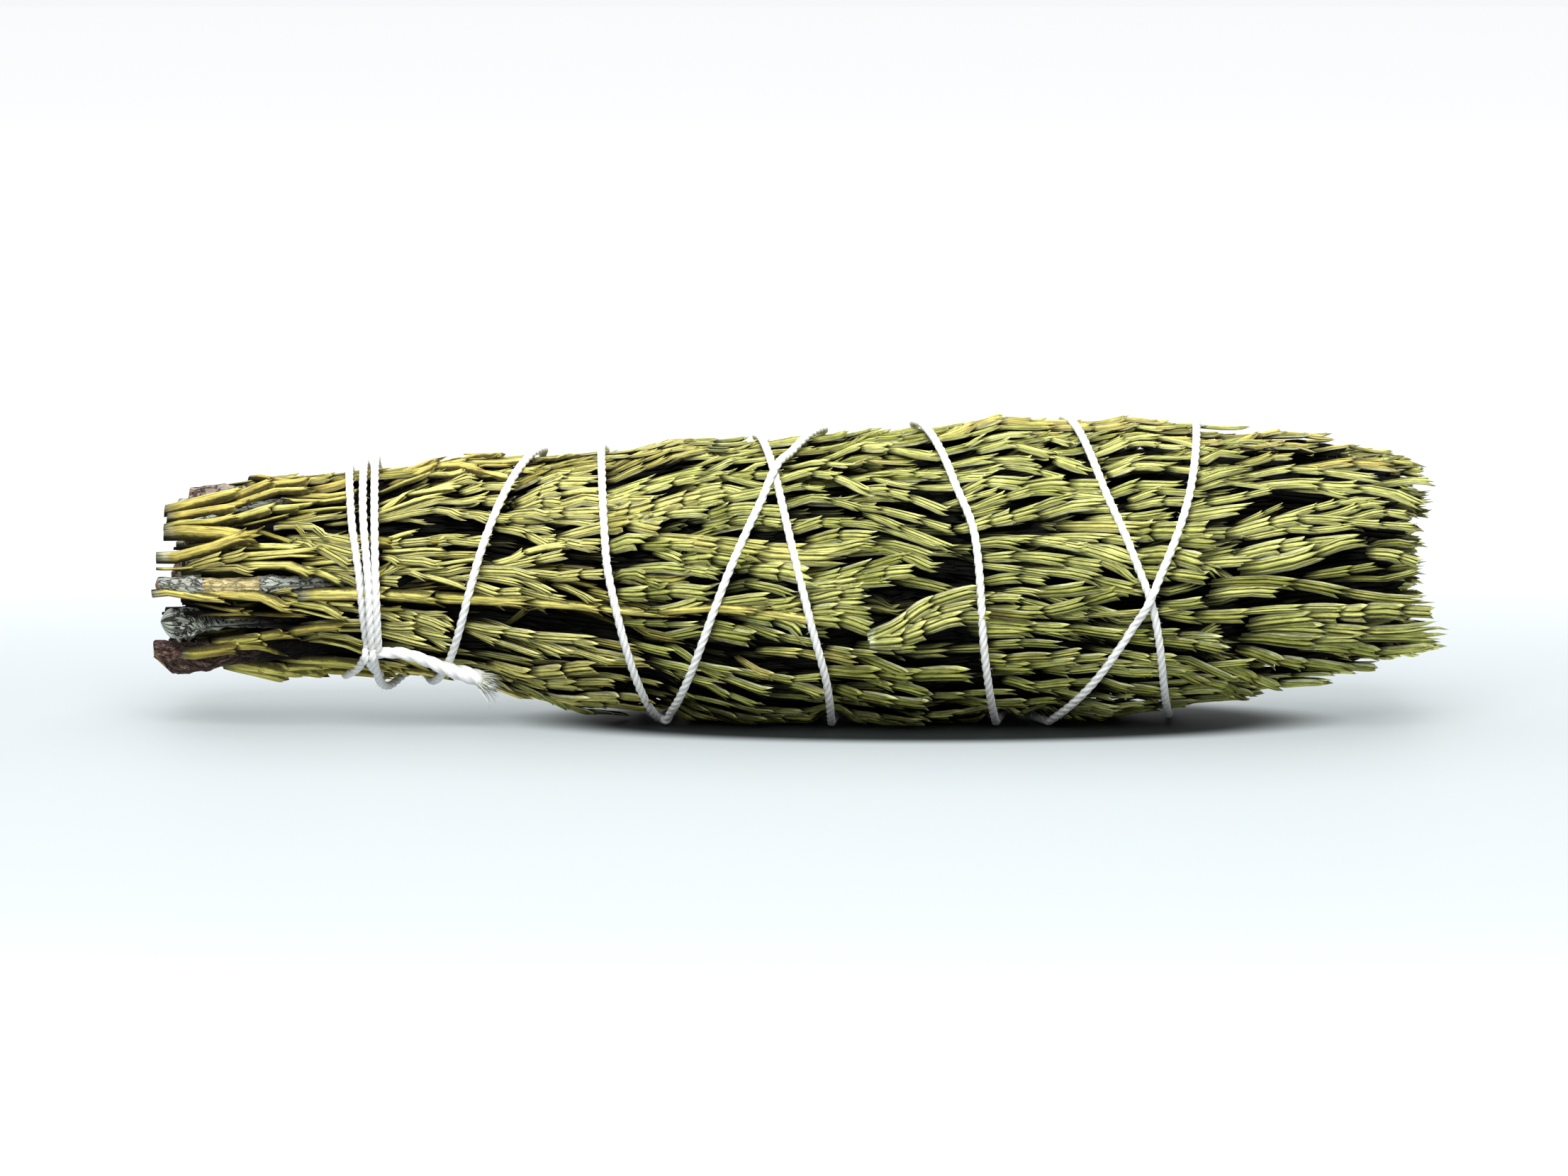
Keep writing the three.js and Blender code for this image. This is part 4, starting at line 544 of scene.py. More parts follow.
# Tiers of sprays: where each starts and ends along the bundle.
BUTT = {"start": -105.5, "end": -22}
BELLY = {"count": 9, "first": 270, "start": -47, "end": 46}
TIP = {"count": 8, "first": 232, "start": 17, "end": 103}
BUTT_LANES = [
    [[20, 68], [18, 70]], [[87, 120], [70, 122]], [[138, 173], [122, 176]],
    [[189, 224], [176, 228]], [[240, 270], [228, 270]], [[270, 304], [270, 314]],
    [[323, 333], [314, 342]], [[350, 359], [342, 378]],
]
BUTT_OPENS = (-82, -60)
BASE_DEPTH = 3.6
RISE = 7
STRAIGHT_FROM = 80
STRAIGHT_SHARE = 0.35

# Woody stems at the cut end: angle, thickest radius, first and last x, and how grey, how red
# and how peeled the bark is.
WOODY_STEMS = [
    [90, 1.45, -102, -66, 0.35, 0.3, 0.1],
    [129, 2.0, -105, -62, 0.5, 0.3, 0.2],
    [181, 1.6, -106, -62, 0.1, 0.7, 0.1],
    [232, 2.2, -103, -63, 0.8, 0.1, 0.2],
    [300, 2.7, -107.5, -64, 0.0, 1.0, 0.05],
    [325.5, 3.1, -106, -64, 1.0, 0.0, 0.05],
    [7, 1.9, -106.6, -58, 0.75, 0.25, 0.9],
]
# How thick a stem stays past its end, how rounded and how slanted its end is, which way round
# the slant faces in degrees, how far the stem turns along its length, how deep it dives, and how
# far out of the bundle its end stands.
WOODY_ENDS = [
    [0.55, 0.2, 0.1, 200, -18, 2.6, 0], [1, 0.2, 0.2, 90, 0, 2.6, 0], [1, 0.2, 0.2, 30, 0, 2.6, 0],
    [1, 0.2, 0.2, 0, 0, 2.6, 0], [0.8, 0, 0.7, 60, 0, 2.6, 2.2], [0.36, 0.55, 0.1, 0, 16, 2.6, 0],
    [0.88, 0.1, 0.15, 0, -9, 0.9, 1.0],
]
WOODY_DIVES = (-80, -66)

# Stems and sprays inside the bundle.
INNER_COUNT = 7
INNER_NEAR = 0.4
INNER_FAR = 0.46
INNER_TWIST = 0.004
INNER_OPENS = (-70, -45)


def smoothstep(at, low, high):
    """0 below low, 1 above high, and 3t^2 - 2t^3 between them."""
    t = np.clip((at - low) / (high - low), 0, 1)
    return t * t * (3 - 2 * t)


def lerp(a, b, t):
    return a + (b - a) * t


def smooth_through(points, at):
    """A curve through [place, value] points: a cubic between each two of them, with each
    slope taken from the points on both sides."""
    xs, ys = np.array(points, float)[:, :2].T
    if xs[0] > xs[-1]:
        xs, ys = xs[::-1], ys[::-1]
    slopes = np.gradient(ys)
    slopes[1:-1] = (ys[2:] - ys[:-2]) / (xs[2:] - xs[:-2])
    slopes[0] = (ys[1] - ys[0]) / (xs[1] - xs[0])
    slopes[-1] = (ys[-1] - ys[-2]) / (xs[-1] - xs[-2])
    i = np.clip(np.searchsorted(xs, at, side="right") - 1, 0, len(xs) - 2)
    span = xs[i + 1] - xs[i]
    t = np.clip((at - xs[i]) / span, 0, 1)
    values = (1 + 2 * t) * (1 - t) ** 2 * ys[i] + t * t * (3 - 2 * t) * ys[i + 1]
    turns = t * (1 - t) ** 2 * slopes[i] - t * t * (1 - t) * slopes[i + 1]
    return values + turns * span


def section(x):
    """The bundle's middle height, half height and half width at x."""
    top = smooth_through(TOP, x)
    underside = smooth_through(UNDERSIDE, x)
    half = (top - underside) / 2
    return (top + underside) / 2, half, half * WIDTH_TO_HEIGHT


def radius_at(x):
    middle, half, side = section(x)
    return (half + side) / 2


def string_beside(x, angle):
    """The distance along the bundle to the nearest turn of the string."""
    degrees = np.degrees(angle)
    turned = degrees - 360 * np.ceil((degrees - ROUTE_START) / 360)
    nearest = np.full(np.shape(x), 99.0)
    while turned.max() >= ROUTE_END:
        apart = np.abs(x - smooth_through(ROUTE, turned))
        nearest = np.where(turned >= ROUTE_END, np.minimum(nearest, apart), nearest)
        turned = turned - 360
    return nearest


def wandered(x, angle):
    return angle + WANDER * np.sin(TURN * x / WANDER_LENGTH + WANDER_LOBES * angle)


def place(x, angle, depth):
    """The point at x, angle and depth. Foliage near the string is pressed in, and lifted where
    the string passes under the belly. Nothing goes below the surface that it lies on."""
    middle, half, side = section(x)
    under = smoothstep(-np.sin(angle), 0.78, 0.98)
    lift = under * np.maximum(0, STRING + GAP - (middle - half + SKIN + PRESS))
    nearest = string_beside(x, angle)
    pressed = PRESS * (1 - smoothstep(nearest, PRESS_NEAR, PRESS_FAR))
    lifted = lift * (1 - smoothstep(nearest, LIFT_NEAR, LIFT_FAR))
    inward = depth + pressed + lifted
    y = -(side - inward) * np.cos(angle)
    z = middle + (half - inward) * np.sin(angle)
    return np.stack([x, y, np.maximum(z, 0.02)], -1)


def mesh_object(name, points, faces, material, looks=None, lies=None, sharp=None):
    """An object at the origin from points in millimetres and triangles. looks are four numbers
    a point for the material, lies where the point is on its leaf, and an edge is sharp where
    both of its points have the same number in sharp."""
    mesh = bpy.data.meshes.new(name)
    mesh.vertices.add(len(points))
    mesh.vertices.foreach_set("co", (np.asarray(points) * MM).astype(np.float32).ravel())
    mesh.loops.add(faces.size)
    mesh.loops.foreach_set("vertex_index", faces.astype(np.int32).ravel())
    mesh.polygons.add(len(faces))
    mesh.polygons.foreach_set("loop_start", np.arange(0, faces.size, 3, dtype=np.int32))
    mesh.polygons.foreach_set("use_smooth", np.ones(len(faces), dtype=bool))
    mesh.update(calc_edges=True)
    if looks is not None:
        # The look's alpha carries painted shade.
        layer = mesh.attributes.new("look", "FLOAT_COLOR", "POINT")
        layer.data.foreach_set("color", looks.astype(np.float32).ravel())
    if lies is not None:
        layer = mesh.attributes.new("lie", "FLOAT_VECTOR", "POINT")
        layer.data.foreach_set("vector", lies.astype(np.float32).ravel())
    if sharp is not None:
        ends = np.empty(len(mesh.edges) * 2, dtype=np.int32)
        mesh.edges.foreach_get("vertices", ends)
        a, b = sharp[ends.reshape(-1, 2)].T
        layer = mesh.attributes.new("sharp_edge", "BOOLEAN", "EDGE")
        layer.data.foreach_set("value", (a == b) & (a >= 0))
    mesh.materials.append(material)
    made = bpy.data.objects.new(name, mesh)
    bpy.context.scene.collection.objects.link(made)
    return made


def keep(piece, nodes):
    """Sets the piece on the object's one body, in the place of its solids."""
    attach(piece, "root")
    if nodes:
        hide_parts(*nodes)


def boat(stations, profile, sharp):
    """A closed leaf: the profile's points, given as (across, up) shares, are placed at each
    station (along, centre, half width, top, underside), and the last station is its tip."""
    rows = np.array(stations[:-1], float)
    shape = np.array(profile, float)
    sides = len(shape)
    along = np.repeat(rows[:, 0], sides)
    across = (rows[:, 1, None] + rows[:, 2, None] * shape[None, :, 0]).ravel()
    up = lerp(rows[:, 4, None], rows[:, 3, None], shape[None, :, 1]).ravel()
    tip = stations[-1]
    points = np.stack([along, across, up], -1)
    points = np.vstack([points, [[tip[0], tip[1], tip[3]]]])
    j = np.arange(sides)
    k = (j + 1) % sides
    low = (np.arange(len(rows) - 1) * sides)[:, None]
    high = low + sides
    walls = [np.stack([low + j, low + k, high + k], -1), np.stack([low + j, high + k, high + j], -1)]
    last = (len(rows) - 1) * sides
    cap = np.stack([last + j, last + k, np.full(sides, len(points) - 1)], -1)
    end = np.stack([np.zeros(sides - 2, int), j[2:], j[1:-1]], -1)
    faces = np.vstack([w.reshape(-1, 3) for w in walls] + [cap, end])
    rails = np.append(np.where(np.isin(np.tile(j, len(rows)), sharp), np.tile(j, len(rows)), -1), -1)
    a, b, c = points[faces].transpose(1, 0, 2)
    if np.einsum("ij,ij->i", a, np.cross(b, c)).sum() < 0:
        faces = faces[:, ::-1]
    return points, faces, rails


SIDE_LEAF = [
    (-0.06, 0.44, 0.30, 0.40, -0.50),
    (0.20, 0.51, 0.37, 0.66, -0.60),
    (0.55, 0.55, 0.41, 0.80, -0.55),
    (0.82, 0.61, 0.38, 0.88, -0.40),
    (0.94, 0.76, 0.23, 0.90, -0.05),
    (1.07, 0.94, 0.00, 0.86, 0.86),
]
SIDE_PROFILE = [(-1, 0.5), (-0.3, 1), (1, 0.35), (0.15, 0), (-1, 0.1)]
FACE_LEAF = [
    (-0.10, 0, 0.15, 0.50, -0.30),
    (0.20, 0, 0.26, 0.80, -0.10),
    (0.60, 0, 0.35, 0.98, 0.05),
    (0.84, 0, 0.31, 1.06, 0.35),
    (1.03, 0, 0.00, 1.06, 1.06),
]
FACE_PROFILE = [(-1, 0.3), (0, 1), (1, 0.3), (0, 0)]
SMALL_SIDE_LEAF = [SIDE_LEAF[0], (0.45, 0.54, 0.40, 0.78, -0.58), SIDE_LEAF[3], SIDE_LEAF[-1]]
SMALL_SIDE_PROFILE = [(-1, 0.45), (-0.3, 1), (1, 0.35), (0, 0)]
SMALL_FACE_LEAF = [FACE_LEAF[0], (0.50, 0, 0.34, 0.98, 0.0), FACE_LEAF[3], FACE_LEAF[-1]]
BROAD_SIDE_LEAF = [SIDE_LEAF[0], SIDE_LEAF[3], SIDE_LEAF[-1]]
BROAD_FACE_LEAF = [FACE_LEAF[0], FACE_LEAF[3], FACE_LEAF[-1]]
CUT_SIDE_LEAF = [(0.00, 0.48, 0.44, 0.66, -0.80), (0.20, 0.50, 0.43, 0.72, -0.80), *SIDE_LEAF[2:]]
OLD_SIDE_LEAF = [
    (-0.03, 0.40, 0.36, 0.50, -0.75),
    (0.15, 0.38, 0.37, 0.80, -0.80),
    (0.55, 0.40, 0.39, 0.85, -0.80),
    (0.80, 0.48, 0.41, 0.94, -0.75),
    (0.93, 0.66, 0.27, 0.98, -0.45),
    (1.05, 0.98, 0.00, 0.84, 0.84),
]
OLD_SIDE_PROFILE = [(-1, 1.0), (-0.2, 0.93), (0.55, 0.66), (1, 0.22), (0.4, 0), (-1, 0.0)]
OLD_FACE_LEAF = [(0.35, 0, 0.08, 0.84, 0.4), (0.70, 0, 0.24, 1.00, 0.5), (0.88, 0, 0.27, 1.12, 0.6), (1.02, 0, 0.00, 1.10, 1.10)]
CUT_FACE_LEAF = [(0.0, 0, 0.30, 0.86, 0.0), (0.2, 0, 0.31, 0.92, 0.0), *FACE_LEAF[2:]]


def mirrored(leaf):
    points, faces, rails = leaf
    return points * [1, -1, 1], faces[:, ::-1], rails


def joint_form(side, side_profile, face, sharp=(0, 2), creased=1.0):
    """A joint of a twig: two keeled side leaves and the facing leaf between them. Its keels and tips are pale, partly
    as dry margins and partly as painted highlight, and crease_shade is painted shade in its creases and low parts.
    """
    right = boat(side, side_profile, sharp)
    front = boat(face, FACE_PROFILE, [0, 2])
    leaves = [right, mirrored(right), front]
    offsets = np.cumsum([0] + [len(leaf[0]) for leaf in leaves[:-1]])
    points = np.vstack([leaf[0] for leaf in leaves])
    faces = np.vstack([leaf[1] + offset for leaf, offset in zip(leaves, offsets)])
    rails = np.concatenate([np.where(leaf[2] < 0, -1, leaf[2] + 10 * i) for i, leaf in enumerate(leaves)])
    which = np.concatenate([np.full(len(leaf[0]), i) for i, leaf in enumerate(leaves)])
    # Pale keels and tips: partly dry margins, partly painted highlight.
    keel = np.abs(points[:, 1]) - np.interp(points[:, 0], [s[0] for s in side], [s[1] for s in side])
    pale = np.where(which < 2, np.clip(keel * 3, 0, 1), 0) * 0.8
    pale = np.maximum(pale, 0.7 * smoothstep(points[:, 0], 0.85, 1.05))
    # Painted shade: darker along the inner edges of the side leaves and the edges of the facing leaf, less near the
    # tip, and on the low parts of the joint.
    rail = rails % 10
    crease_shade = np.where(which < 2, rail == 0, rails >= 20) * np.where(which < 2, 1, 0.5)
    crease_shade = crease_shade * (1 - smoothstep(points[:, 0], 0.8, 1.0))
    crease_shade = np.maximum(crease_shade * creased, 1 - smoothstep(points[:, 2], -0.35, 0.5))
    return {"points": points, "faces": faces, "rails": rails, "pale": pale * creased, "crease_shade": crease_shade, "leaf": which}


FULL_JOINT = joint_form(SIDE_LEAF, SIDE_PROFILE, FACE_LEAF)
SMALL_JOINT = joint_form(SMALL_SIDE_LEAF, SMALL_SIDE_PROFILE, SMALL_FACE_LEAF)
BROAD_JOINT = joint_form(BROAD_SIDE_LEAF, SMALL_SIDE_PROFILE, BROAD_FACE_LEAF)
CUT_JOINT = joint_form(CUT_SIDE_LEAF, SIDE_PROFILE, CUT_FACE_LEAF)
OLD_JOINT = joint_form(OLD_SIDE_LEAF, OLD_SIDE_PROFILE, OLD_FACE_LEAF, (3,), 0.45)

TWIG = np.dtype([(name, float) for name in (
    "start", "end", "joints", "share", "to_share", "swing_from", "swing_over",
    "beside", "beside_from", "beside_over", "sway", "phase", "depth", "tip_depth",
    "base", "base_over", "wide", "taper", "thick", "roll", "tone", "age", "cut", "small",
)])


def twig(start, end, joint, **values):
    """A leafy twig in a lane: it swings from one share of the lane's half width to another,
    and then beside that by so many millimetres."""
    made = np.zeros(1, TWIG)[0]
    defaults = {
        "swing_from": start, "swing_over": 14, "beside_from": start, "beside_over": 8,
        "base": 1.8, "base_over": 10, "wide": 1.4, "taper": 0.35, "thick": 0.42, "tone": 0.5,
    }
    for key, value in {**defaults, **values}.items():
        made[key] = value
    made["start"] = start
    made["end"] = end
    made["joints"] = max(1, round((end - start) / joint))
    if "to_share" not in values:
        made["to_share"] = made["share"]
    return made


def side_twig(parent, start, end, joint, beside, **values):
    """A twig that leaves another and runs beside it."""
    made = parent.copy()
    made["start"] = start
    made["end"] = end
    made["joints"] = max(1, round((end - start) / joint))
    made["beside"] = beside
    made["beside_from"] = start
    made["beside_over"] = 7
    made["base"] = 0.5
    made["base_over"] = 4
    made["small"] = 1
    for key, value in values.items():
        made[key] = value
    return made


def even_lane(tier, index):
    """A lane's middle and half angle, of lanes that share the girth alike."""
    half = math.pi / tier["count"]
    middle = math.radians(tier["first"]) + 2 * half * index
    return lambda x: (np.full(np.shape(x), middle), half)


def butt_lane(index):
    """A lane whose edges move apart past the first turns of the string."""
    (cut_low, cut_high), (full_low, full_high) = np.radians(BUTT_LANES[index])

    def at(x):
        opened = smoothstep(x, *BUTT_OPENS)
        low = lerp(cut_low, full_low, opened)
        high = lerp(cut_high, full_high, opened)
        return (low + high) / 2, (high - low) / 2

    return at


def twig_angle(lane, t, x):
    """Where twigs are round the bundle at x."""
    middle, half = lane(x)
    share = lerp(t["share"], t["to_share"], smoothstep(x, t["swing_from"], t["swing_from"] + t["swing_over"]))
    beside = t["beside"] * smoothstep(x, t["beside_from"], t["beside_from"] + t["beside_over"])
    beside = beside + t["sway"] * np.sin(x / 9 + t["phase"])
    return middle + share * half + beside / radius_at(x)


def traced(path):
    """A lane of no width that follows a path of x and degrees."""
    def at(x):
        angle = np.radians(smooth_through(path, x))
        return angle - WANDER * np.sin(TURN * x / WANDER_LENGTH + WANDER_LOBES * angle), 0.0
    return at


def parted(x, angle):
    """How far, as an angle, a twig stands aside from the gaps near it: each moves it by
    aside * tanh(beside / 0.9), and less past the gap's ends and past 2 mm beside it."""
    around = radius_at(x)
    moved = np.zeros(np.broadcast(x, angle).shape)
    for start, end, from_angle, to_angle, aside in PARTINGS:
        apart = angle - np.radians(lerp(from_angle, to_angle, np.clip((x - start) / (end - start), 0, 1)))
        beside = ((apart + math.pi) % TURN - math.pi) * around
        near = smoothstep(x, start - 5, start + 4) * (1 - smoothstep(x, end - 4, end + 5))
        near = near * (1 - smoothstep(np.abs(beside), 2, 8))
        moved = moved + aside * near * np.tanh(beside / 0.9)
    return moved / around


def kept_out(x):
    """How much further out a twig near the tip end may run than the outline, which closes in,
    so that it stays straight."""
    return radius_at(np.minimum(x, STRAIGHT_FROM + (x - STRAIGHT_FROM) * STRAIGHT_SHARE)) - radius_at(x)


def on_bundle(lane, depth_at, free=1):
    """How a lane's twigs lie: a point of a twig is turned with the twig's heading, and laid on
    the bundle at the twig's depth less the point's rise. Twigs that follow a traced path, with
    free 0, don't stand aside and don't run deeper."""
    def lay(t, x, u, aside, rise):
        angle = twig_angle(lane, t, x)
        heading = np.arctan((twig_angle(lane, t, x + 0.5) - angle) * radius_at(x) / 0.5)
        sunk = t["base"] * (1 - smoothstep(x, t["start"], t["start"] + t["base_over"]))
        deep = free * np.maximum(0, kept_out(t["end"]) - kept_out(x))
        depth = depth_at(x) + t["depth"] + t["tip_depth"] * np.clip(u, 0, 1) ** 2 + sunk + deep - rise
        along = x - aside * np.sin(heading)
        round_at = wandered(along, angle + aside * np.cos(heading) / radius_at(x))
        round_at = round_at + free * parted(x, wandered(x, angle)) * (t["depth"] < 2)
        gold = 0.2 * (1 - smoothstep(x, GOLD_UNTIL[0], GOLD_UNTIL[1]))
        gold = gold + 0.2 * smoothstep(np.sin(round_at), 0.8, 1)
        # Besides the point it gives the depth for painted shade, less how far the twig is kept out, a golden tint, and
        # how low on the bundle the point is, for painted light.
        return place(along, round_at, depth), depth - deep, gold, smoothstep(-np.sin(round_at), 0.1, 1)
    return lay


def leafy(twigs, lay, random):
    """The joints of twigs: each copies the joint's form, narrower towards the twig's tip and
    rolled with it, and is laid where the twig runs. Painted shade darkens it in the creases
    between its leaves, at its root, on its lower side and down in the gaps, painted light
    brightens it low on the bundle, and its keels and tips are pale, partly as painted highlight."""
    parts = []
    counts = twigs["joints"].astype(int)
    every = np.repeat(twigs, counts)
    numbers = np.concatenate([np.arange(n) for n in counts])
    kinds = np.where((every["cut"] > 0) & (numbers == 0) & (every["small"] < 2), 3, every["small"])
    for kind, form in enumerate((FULL_JOINT, SMALL_JOINT, OLD_JOINT, CUT_JOINT, BROAD_JOINT)):
        t = every[kinds == kind][:, None]
        number = numbers[kinds == kind][:, None]
        if not len(t):
            continue
        along, across, up = form["points"].T[:, None, :]
        flare = random.uniform(0, 0.1, (len(t), 1))
        opened = random.uniform(0, 0.2 if kind == 2 else 0.3, (len(t), 1))
        longer = random.uniform(-0.07, 0.1, (len(t), 3))[:, form["leaf"]]
        slanted = random.normal(0, 0.09, (len(t), 1))
        reach = along + longer * smoothstep(along, 0.7, 1.1) + slanted * across * smoothstep(along, 0, 1)
        reach = number + reach
        u = (reach + 0.16 * np.sin(reach * 2.3 + 9 * t["phase"])) / t["joints"]
        x = t["start"] + u * (t["end"] - t["start"])
        wide = t["wide"] * random.uniform(0.88, 1.1, (len(t), 1)) * (1 - t["taper"] * np.clip(u, 0, 1) ** 2) * (1 + flare * along)
        b = across * wide
        h = (up + opened * smoothstep(along, 0.5, 1.1)) * wide * t["thick"]
        roll = t["roll"] * (1 - 0.4 * u)
        points, depth, gold, low = lay(t, x, u, b * np.cos(roll) - h * np.sin(roll), b * np.sin(roll) + h * np.cos(roll))
        # Painted shade: the deeper under the outline, the darker, down to black in the gaps.
        shade = lerp(1, 0.006, smoothstep(depth, 0.65, 1.75))
        # Painted shadow at each joint's root, where the tips of the joint before lie over it.
        if kind < 3:
            shade = shade * lerp(0.1, 1, smoothstep(along, -0.06, 0.09))
        # Painted shade in the creases and on the lower side of each twig, and painted light low on the bundle.
        upper = smoothstep(across, -0.85, 0.1)
        shade = shade * (1 - 0.85 * form["crease_shade"]) * lerp(0.6, 1, upper) * (1 + 0.55 * low)
        # Painted shade: the tone is lower, so darker and browner, on each twig's lower side.
        tone = t["tone"] + random.uniform(-0.12, 0.12, (len(t), 1)) - (0.35 if kind == 2 else 0.1) * (1 - upper)
        # Pale keels and tips, partly dry margins and partly painted highlight; cut ends are pale wood.
        pale = form["pale"] * random.uniform(0.5, 1.1, (len(t), 1))
        pale = np.maximum(pale, 1.5 * t["cut"] * (1 - smoothstep(x - t["start"], 0.3, 1.3)))
        looks = np.stack(np.broadcast_arrays(tone, t["age"] + gold, pale, shade), -1)
        seed = random.uniform(0, 40, (len(t), 1))
        lies = np.stack(np.broadcast_arrays(x, b + seed, across * (0.5 if kind == 2 else 1)), -1)
        rails = np.where(form["rails"] < 0, -1, form["rails"] + 100 * np.arange(len(t))[:, None])
        faces = form["faces"] + (np.arange(len(t)) * len(form["points"]))[:, None, None]
        parts.append((points.reshape(-1, 3), faces.reshape(-1, 3), looks.reshape(-1, 4), lies.reshape(-1, 3), rails.ravel()))
    return merged(parts)


def merged(parts):
    """Several meshes as one: points, faces, looks, lies and rails one after another."""
    offsets = np.cumsum([0] + [len(part[0]) for part in parts[:-1]])
    points = np.vstack([part[0] for part in parts])
    faces = np.vstack([part[1] + offset for part, offset in zip(parts, offsets)])
    looks = np.vstack([part[2] for part in parts])
    lies = np.vstack([part[3] for part in parts])
    rails = np.concatenate([np.where(part[4] < 0, -1, part[4] + 10 ** 6 * i) for i, part in enumerate(parts)])
    return points, faces, looks, lies, rails


ROW = 3.3
# Twigs with joints at least this long are old and smooth.
OLD_FROM = 8


def thatched(lane, first, last, random, joint, bare, sunk):
    """Twigs that cover a lane's rows like thatch. Again and again the row that is covered least
    far gets a fan: one to four twigs that leave one root and swing out to neighbouring rows.
    They start under the twigs before them and end over the next ones. Some rows keep a gap, and
    short twigs stand beside some twigs. Broad twigs of a dark tone lie under them all, and alone
    over the last so many millimetres that are to stay bare; they lie deep, where painted shade
    makes them black. All but some lie sunk by so much, which gives them more painted shade."""
    halfway = (max(first, -60) + last) / 2
    width = 2 * float(lane(halfway)[1]) * radius_at(halfway)
    rows = max(3, round(width / ROW))
    shares = (np.arange(rows) + 0.5) / rows * 2 - 1
    targets = last - bare + random.uniform(-4, 3 if last > 100 else 6, rows)
    reached = first + random.uniform(0, 9, rows)
    spray_tone = random.uniform(0.35, 0.65)
    grown = []
    while np.any(reached < targets):
        least = int(np.argmin(np.where(reached < targets, reached, np.inf)))
        count = random.integers(1, 5)
        low = least - random.integers(0, count)
        members = [row for row in range(low, low + count) if 0 <= row < rows and reached[row] < reached[least] + 18]
        root = max(first, reached[least] - random.uniform(6, 11))
        middle = shares[members].mean()
        tone = spray_tone + random.uniform(-0.2, 0.2)
        age = random.uniform(0.5, 0.9) if random.random() < 0.06 else random.uniform(-0.2, 0.25)
        for row in members:
            away = abs(shares[row] - middle) * rows / 2
            start = root + away * random.uniform(2.5, 6)
            end = max(start + random.uniform(16, 44), reached[row] + 8)
            if last > 100 and reached[row] < 78 and not bare:
                end = min(end, random.uniform(86, 98))
            if end > targets[row]:
                end = targets[row] + random.uniform(-2, 2)
                start = min(start, end - 9)
            if last > 100 and end > 98:
                start = max(start, end - 30)
            faces = math.degrees(float(np.max(lane(halfway)[0] + shares[row] * lane(halfway)[1])) + math.pi) % 360 - 180
            # Sunk twigs lie deeper and so take more painted shade.
            down = sunk * random.choice([0, 0.5, 1, 1, 1]) * (-62 < faces < 66)
            grown.append(twig(
                start, end, joint * random.uniform(0.7, 1.15),
                share=middle + (shares[row] - middle) * 0.3, to_share=shares[row] + random.uniform(-0.06, 0.06),
                swing_over=random.uniform(9, 20), base=1.8 if root > first else 0.3,
                wide=random.uniform(1.0, 1.5), thick=random.uniform(0.4, 0.6),
                cut=0.4 if first < -100 and root <= first else 0,
                small=1 if down > 1 else 2 if start < -72 and random.random() < 0.6 else 0,
                depth=random.uniform(0, 0.8) + down, tip_depth=random.uniform(-0.7, 0.1),
                roll=random.normal(0, 0.2), tone=tone + random.uniform(-0.15, 0.15), age=age,
                sway=random.uniform(0, 0.35), phase=random.uniform(0, 6),
            ))
            reached[row] = end + (random.uniform(3, 12) if random.random() < 0.2 else 0)
            for k in range(random.choice([0, 0, 1, 1, 2])):
                leaves = random.uniform(start + 2, max(start + 3, end - 6))
                grown.append(side_twig(
                    grown[-1 - k], leaves, max(leaves + 4, min(leaves + random.uniform(8, 15), end)), random.uniform(3.4, 5),
                    random.choice([-1, 1]) * random.uniform(1.4, 2.2), wide=random.uniform(0.75, 1.05),
                    depth=grown[-1 - k]["depth"] + random.uniform(0.3, 1.0), roll=random.normal(0, 0.4), cut=0,
                ))
    # Broad twigs of a dark tone under all rows: they lie deep, so painted shade makes them black in the gaps.
    for share in np.linspace(-1, 1, rows + 2):
        grown.append(twig(
            first + random.uniform(0, 4), last - random.uniform(1, 6), 9, share=share,
            base=0, wide=2.3, taper=0.1, depth=random.uniform(2.5, 3.2), roll=random.normal(0, 0.2),
            tone=0.2, small=4, sway=1, phase=random.uniform(0, 6),
        ))
    return np.array(grown, TWIG)


def depth_after(previous_end):
    return lambda x: lerp(BASE_DEPTH, SKIN, smoothstep(x, previous_end - RISE, previous_end + RISE))


class Value:
    """A socket's value in a material. Sums, differences, products and powers add Math nodes."""

    def __init__(self, finish, socket):
        self.finish = finish
        self.socket = socket

    def math(self, operation, first, second):
        return self.finish.node("ShaderNodeMath", {"operation": operation}, {0: first, 1: second})

    def __add__(self, other):
        return self.math("ADD", self, other)

    def __sub__(self, other):
        return self.math("SUBTRACT", self, other)

    def __rsub__(self, other):
        return self.math("SUBTRACT", other, self)

    def __mul__(self, other):
        return self.math("MULTIPLY", self, other)

    def __pow__(self, other):
        return self.math("POWER", self, other)

    __radd__ = __add__
    __rmul__ = __mul__


